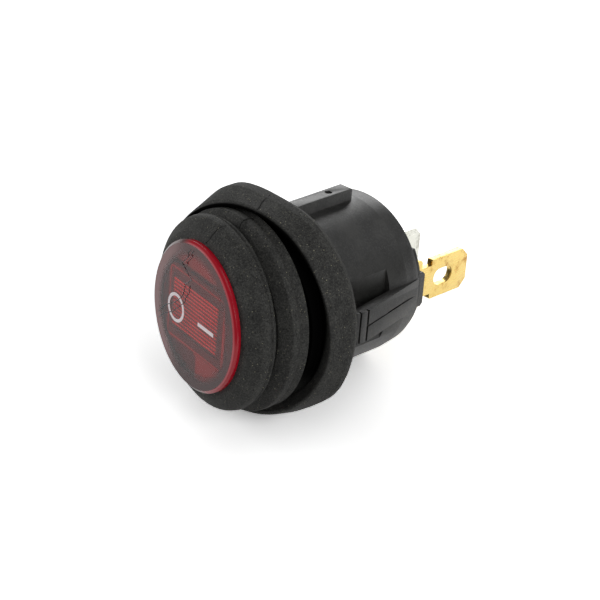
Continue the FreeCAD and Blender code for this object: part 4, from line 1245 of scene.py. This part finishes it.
@dataclass
class Studio:
    """White paper under the switch as it lies on its flange and barrel end, and soft light."""

    paper: bpy.types.Material
    lie_back: float = 13.9
    lie_round: float = 7.67
    floor_radius: float = 200.0
    floor_steps: int = 96
    world_light: float = 0.31
    world_mirrored: float = 0.16
    lamps: tuple[tuple[str, tuple[float, float, float], float, float], ...] = (
        ("overhead_softbox", (130.0, 200.0, 240.0), 280.0, 0.16),
        ("right_softbox", (300.0, -70.0, 120.0), 220.0, 0.36),
        ("left_softbox", (-280.0, -200.0, 90.0), 240.0, 0.44),
        ("back_card", (-243.0, 268.0, 170.0), 300.0, 0.7))

    def up(self) -> Vector:
        """The paper's upward direction in the switch's frame."""
        back, turn = math.radians(self.lie_back), math.radians(self.lie_round)
        return Vector((math.sin(turn) * math.cos(back), -math.sin(back), math.cos(turn) * math.cos(back)))

    def floor(self) -> None:
        """Lay the paper against the lowest point of the switch."""
        up = self.up()
        lowest = min(up.dot(v.co) for o in frame["nodes"].values() for v in o.data.vertices)
        centre = up * (lowest - 0.01 * MM)
        work = bmesh.new()
        turn = Matrix.Translation(centre) @ up.to_track_quat("Z", "Y").to_matrix().to_4x4()
        bmesh.ops.create_circle(work, cap_ends=True, segments=self.floor_steps,
                                radius=self.floor_radius * MM, matrix=turn)
        for face in work.faces:
            face.normal_update()
            if face.normal.dot(up) < 0.0:
                face.normal_flip()
        mesh = bpy.data.meshes.new("white_paper")
        work.to_mesh(mesh)
        work.free()
        mesh.materials.append(self.paper)
        new_piece("white_paper", mesh)

    def world(self) -> None:
        """Make the surroundings white to the eye and through glass, dim in reflections, and gentler as
        light.
        """
        world = bpy.data.worlds.new("white_surroundings")
        bpy.context.scene.world = world
        world.use_nodes = True
        tree = world.node_tree
        tree.nodes.clear()
        path = add(tree, PATH).outputs
        mirrored = add(tree, RANGE, None, {"Value": path["Is Glossy Ray"], "To Min": self.world_light,
                                           "To Max": self.world_mirrored})
        seen = add(tree, MATH, LARGER, {0: path["Is Camera Ray"], 1: path["Is Transmission Ray"]})
        strength = add(tree, RANGE, None, {"Value": seen, "To Min": mirrored, "To Max": 1.0})
        back = add(tree, "ShaderNodeBackground", None, {"Color": (1.0, 1.0, 1.0, 1.0), "Strength": strength})
        add(tree, "ShaderNodeOutputWorld", None, {"Surface": back})

    def lights(self) -> None:
        """Hang the soft boxes, each turned to the switch."""
        for name, spot, size, power in self.lamps:
            lamp = bpy.data.lights.new(name, "AREA")
            lamp.shape, lamp.size, lamp.energy = "DISK", size * MM, power
            holder = bpy.data.objects.new(name, lamp)
            bpy.context.scene.collection.objects.link(holder)
            stand = Vector(spot) * MM
            turn = (-stand).to_track_quat("-Z", "Y").to_matrix().to_4x4()
            holder.matrix_world = Matrix.Translation(stand) @ turn

    def build(self) -> None:
        """Set up the floor, the surroundings and the lamps."""
        self.floor()
        self.world()
        self.lights()
        bpy.context.scene.view_settings.view_transform = "Standard"


def inner_finishes(silver: bpy.types.Material) -> dict[str, bpy.types.Material]:
    """The finish of each hidden part.

    Args:
        silver: The silver-plated strip metal of the tabs.

    Returns:
        A material for each hidden CAD node.
    """
    # Blown glass with a warm tinge, dipped lacquer, undyed nylon that looks like ivory, headed silver.
    glass = CloudedFinish("clear_lamp_glass", "#c9c6bd", "#b8b3a6", 0.12).build()
    body = CloudedFinish("resistor_lacquer", "#b79a6c", "#a3875a", 0.35).build()
    natural = CloudedFinish("natural_plunger_nylon", "#d9d5c6", "#ccc7b5", 0.45).build()
    rivet = CloudedFinish("fine_silver_rivet", "#e3e2dd", "#cfcdc6", 0.25, 1.0).build()
    return {"lamp": glass, "lamp_resistor": body, "lamp_pin_load": rivet, "lamp_pin_ground": rivet,
            "plunger": natural, "contact_arm": silver, "moving_contact": rivet, "fixed_contact": rivet}


def main() -> None:
    """Build the camera, the studio and each part of the switch in order."""
    logging.basicConfig(level=logging.INFO, format="%(name)s %(message)s", stream=sys.stdout)
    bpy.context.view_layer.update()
    ProductCamera().build()
    Studio(WhitePaperFloor("white_background_paper").build()).build()
    lathe = turned_tree()
    inward = leaned(Lean.RING_TWO).to_3x3() @ Vector((0.0, 1.0, 0.0))
    # The rings' own painted shade is half as dark and starts behind the back ring's band: it paints the thin
    # rib in half shade.
    boot = Boot(lathe, BootRubber("moulded_silicone_rubber").build(),
                BootRubber("moulded_silicone_rings", valley_slope=tuple(inward),
                           valley_depths=(-4.0, -3.75), valley_wall=0.0, valley_shade="#242423").build())
    boot.build()
    # A split is nearly black: its walls shade each other. On the lens the same dark red draws the split's
    # painted shadow too.
    CrackLine(CloudedFinish("split_rubber", "#050505", "#0a0a0a", 0.9).build(),
              CloudedFinish("lens_split_and_shadow", "#2c1a1a", "#221212", 0.3).build(), boot).build()
    # Pad-printed ink is a flat white, with a slight lilac cast from the red beneath it.
    ink = CloudedFinish("white_printing_ink", "#f6ecef", "#eadde1", 0.45, cloud=0.7, detail=3.0,
                        cloud_span=(0.5, 0.8)).build()
    RockerFace(lathe, ClearRedLens("red_dyed_polycarbonate").build(), ink,
               LightWindow("ribbed_red_polycarbonate").build(),
               CarrierPlastic("black_carrier_abs").build()).build()
    Housing(MouldedNylon("spark_eroded_nylon").build()).build()
    silver = RolledMetal("silver_plated_brass", "#f2f2e8", "#9d9b8e", 0.3).build()
    brass = RolledMetal("rolled_brass", "#ffe08c", "#c08a3e", 0.28).build()
    Terminals(brass, silver).build()
    # Drawn wire has a plain grey shine, dulled by oil.
    steel = CloudedFinish("drawn_spring_steel", "#b9babb", "#9a9b9c", 0.3, 1.0).build()
    InnerWorks(inner_finishes(silver), steel).build()


if __name__ == "__main__":
    main()
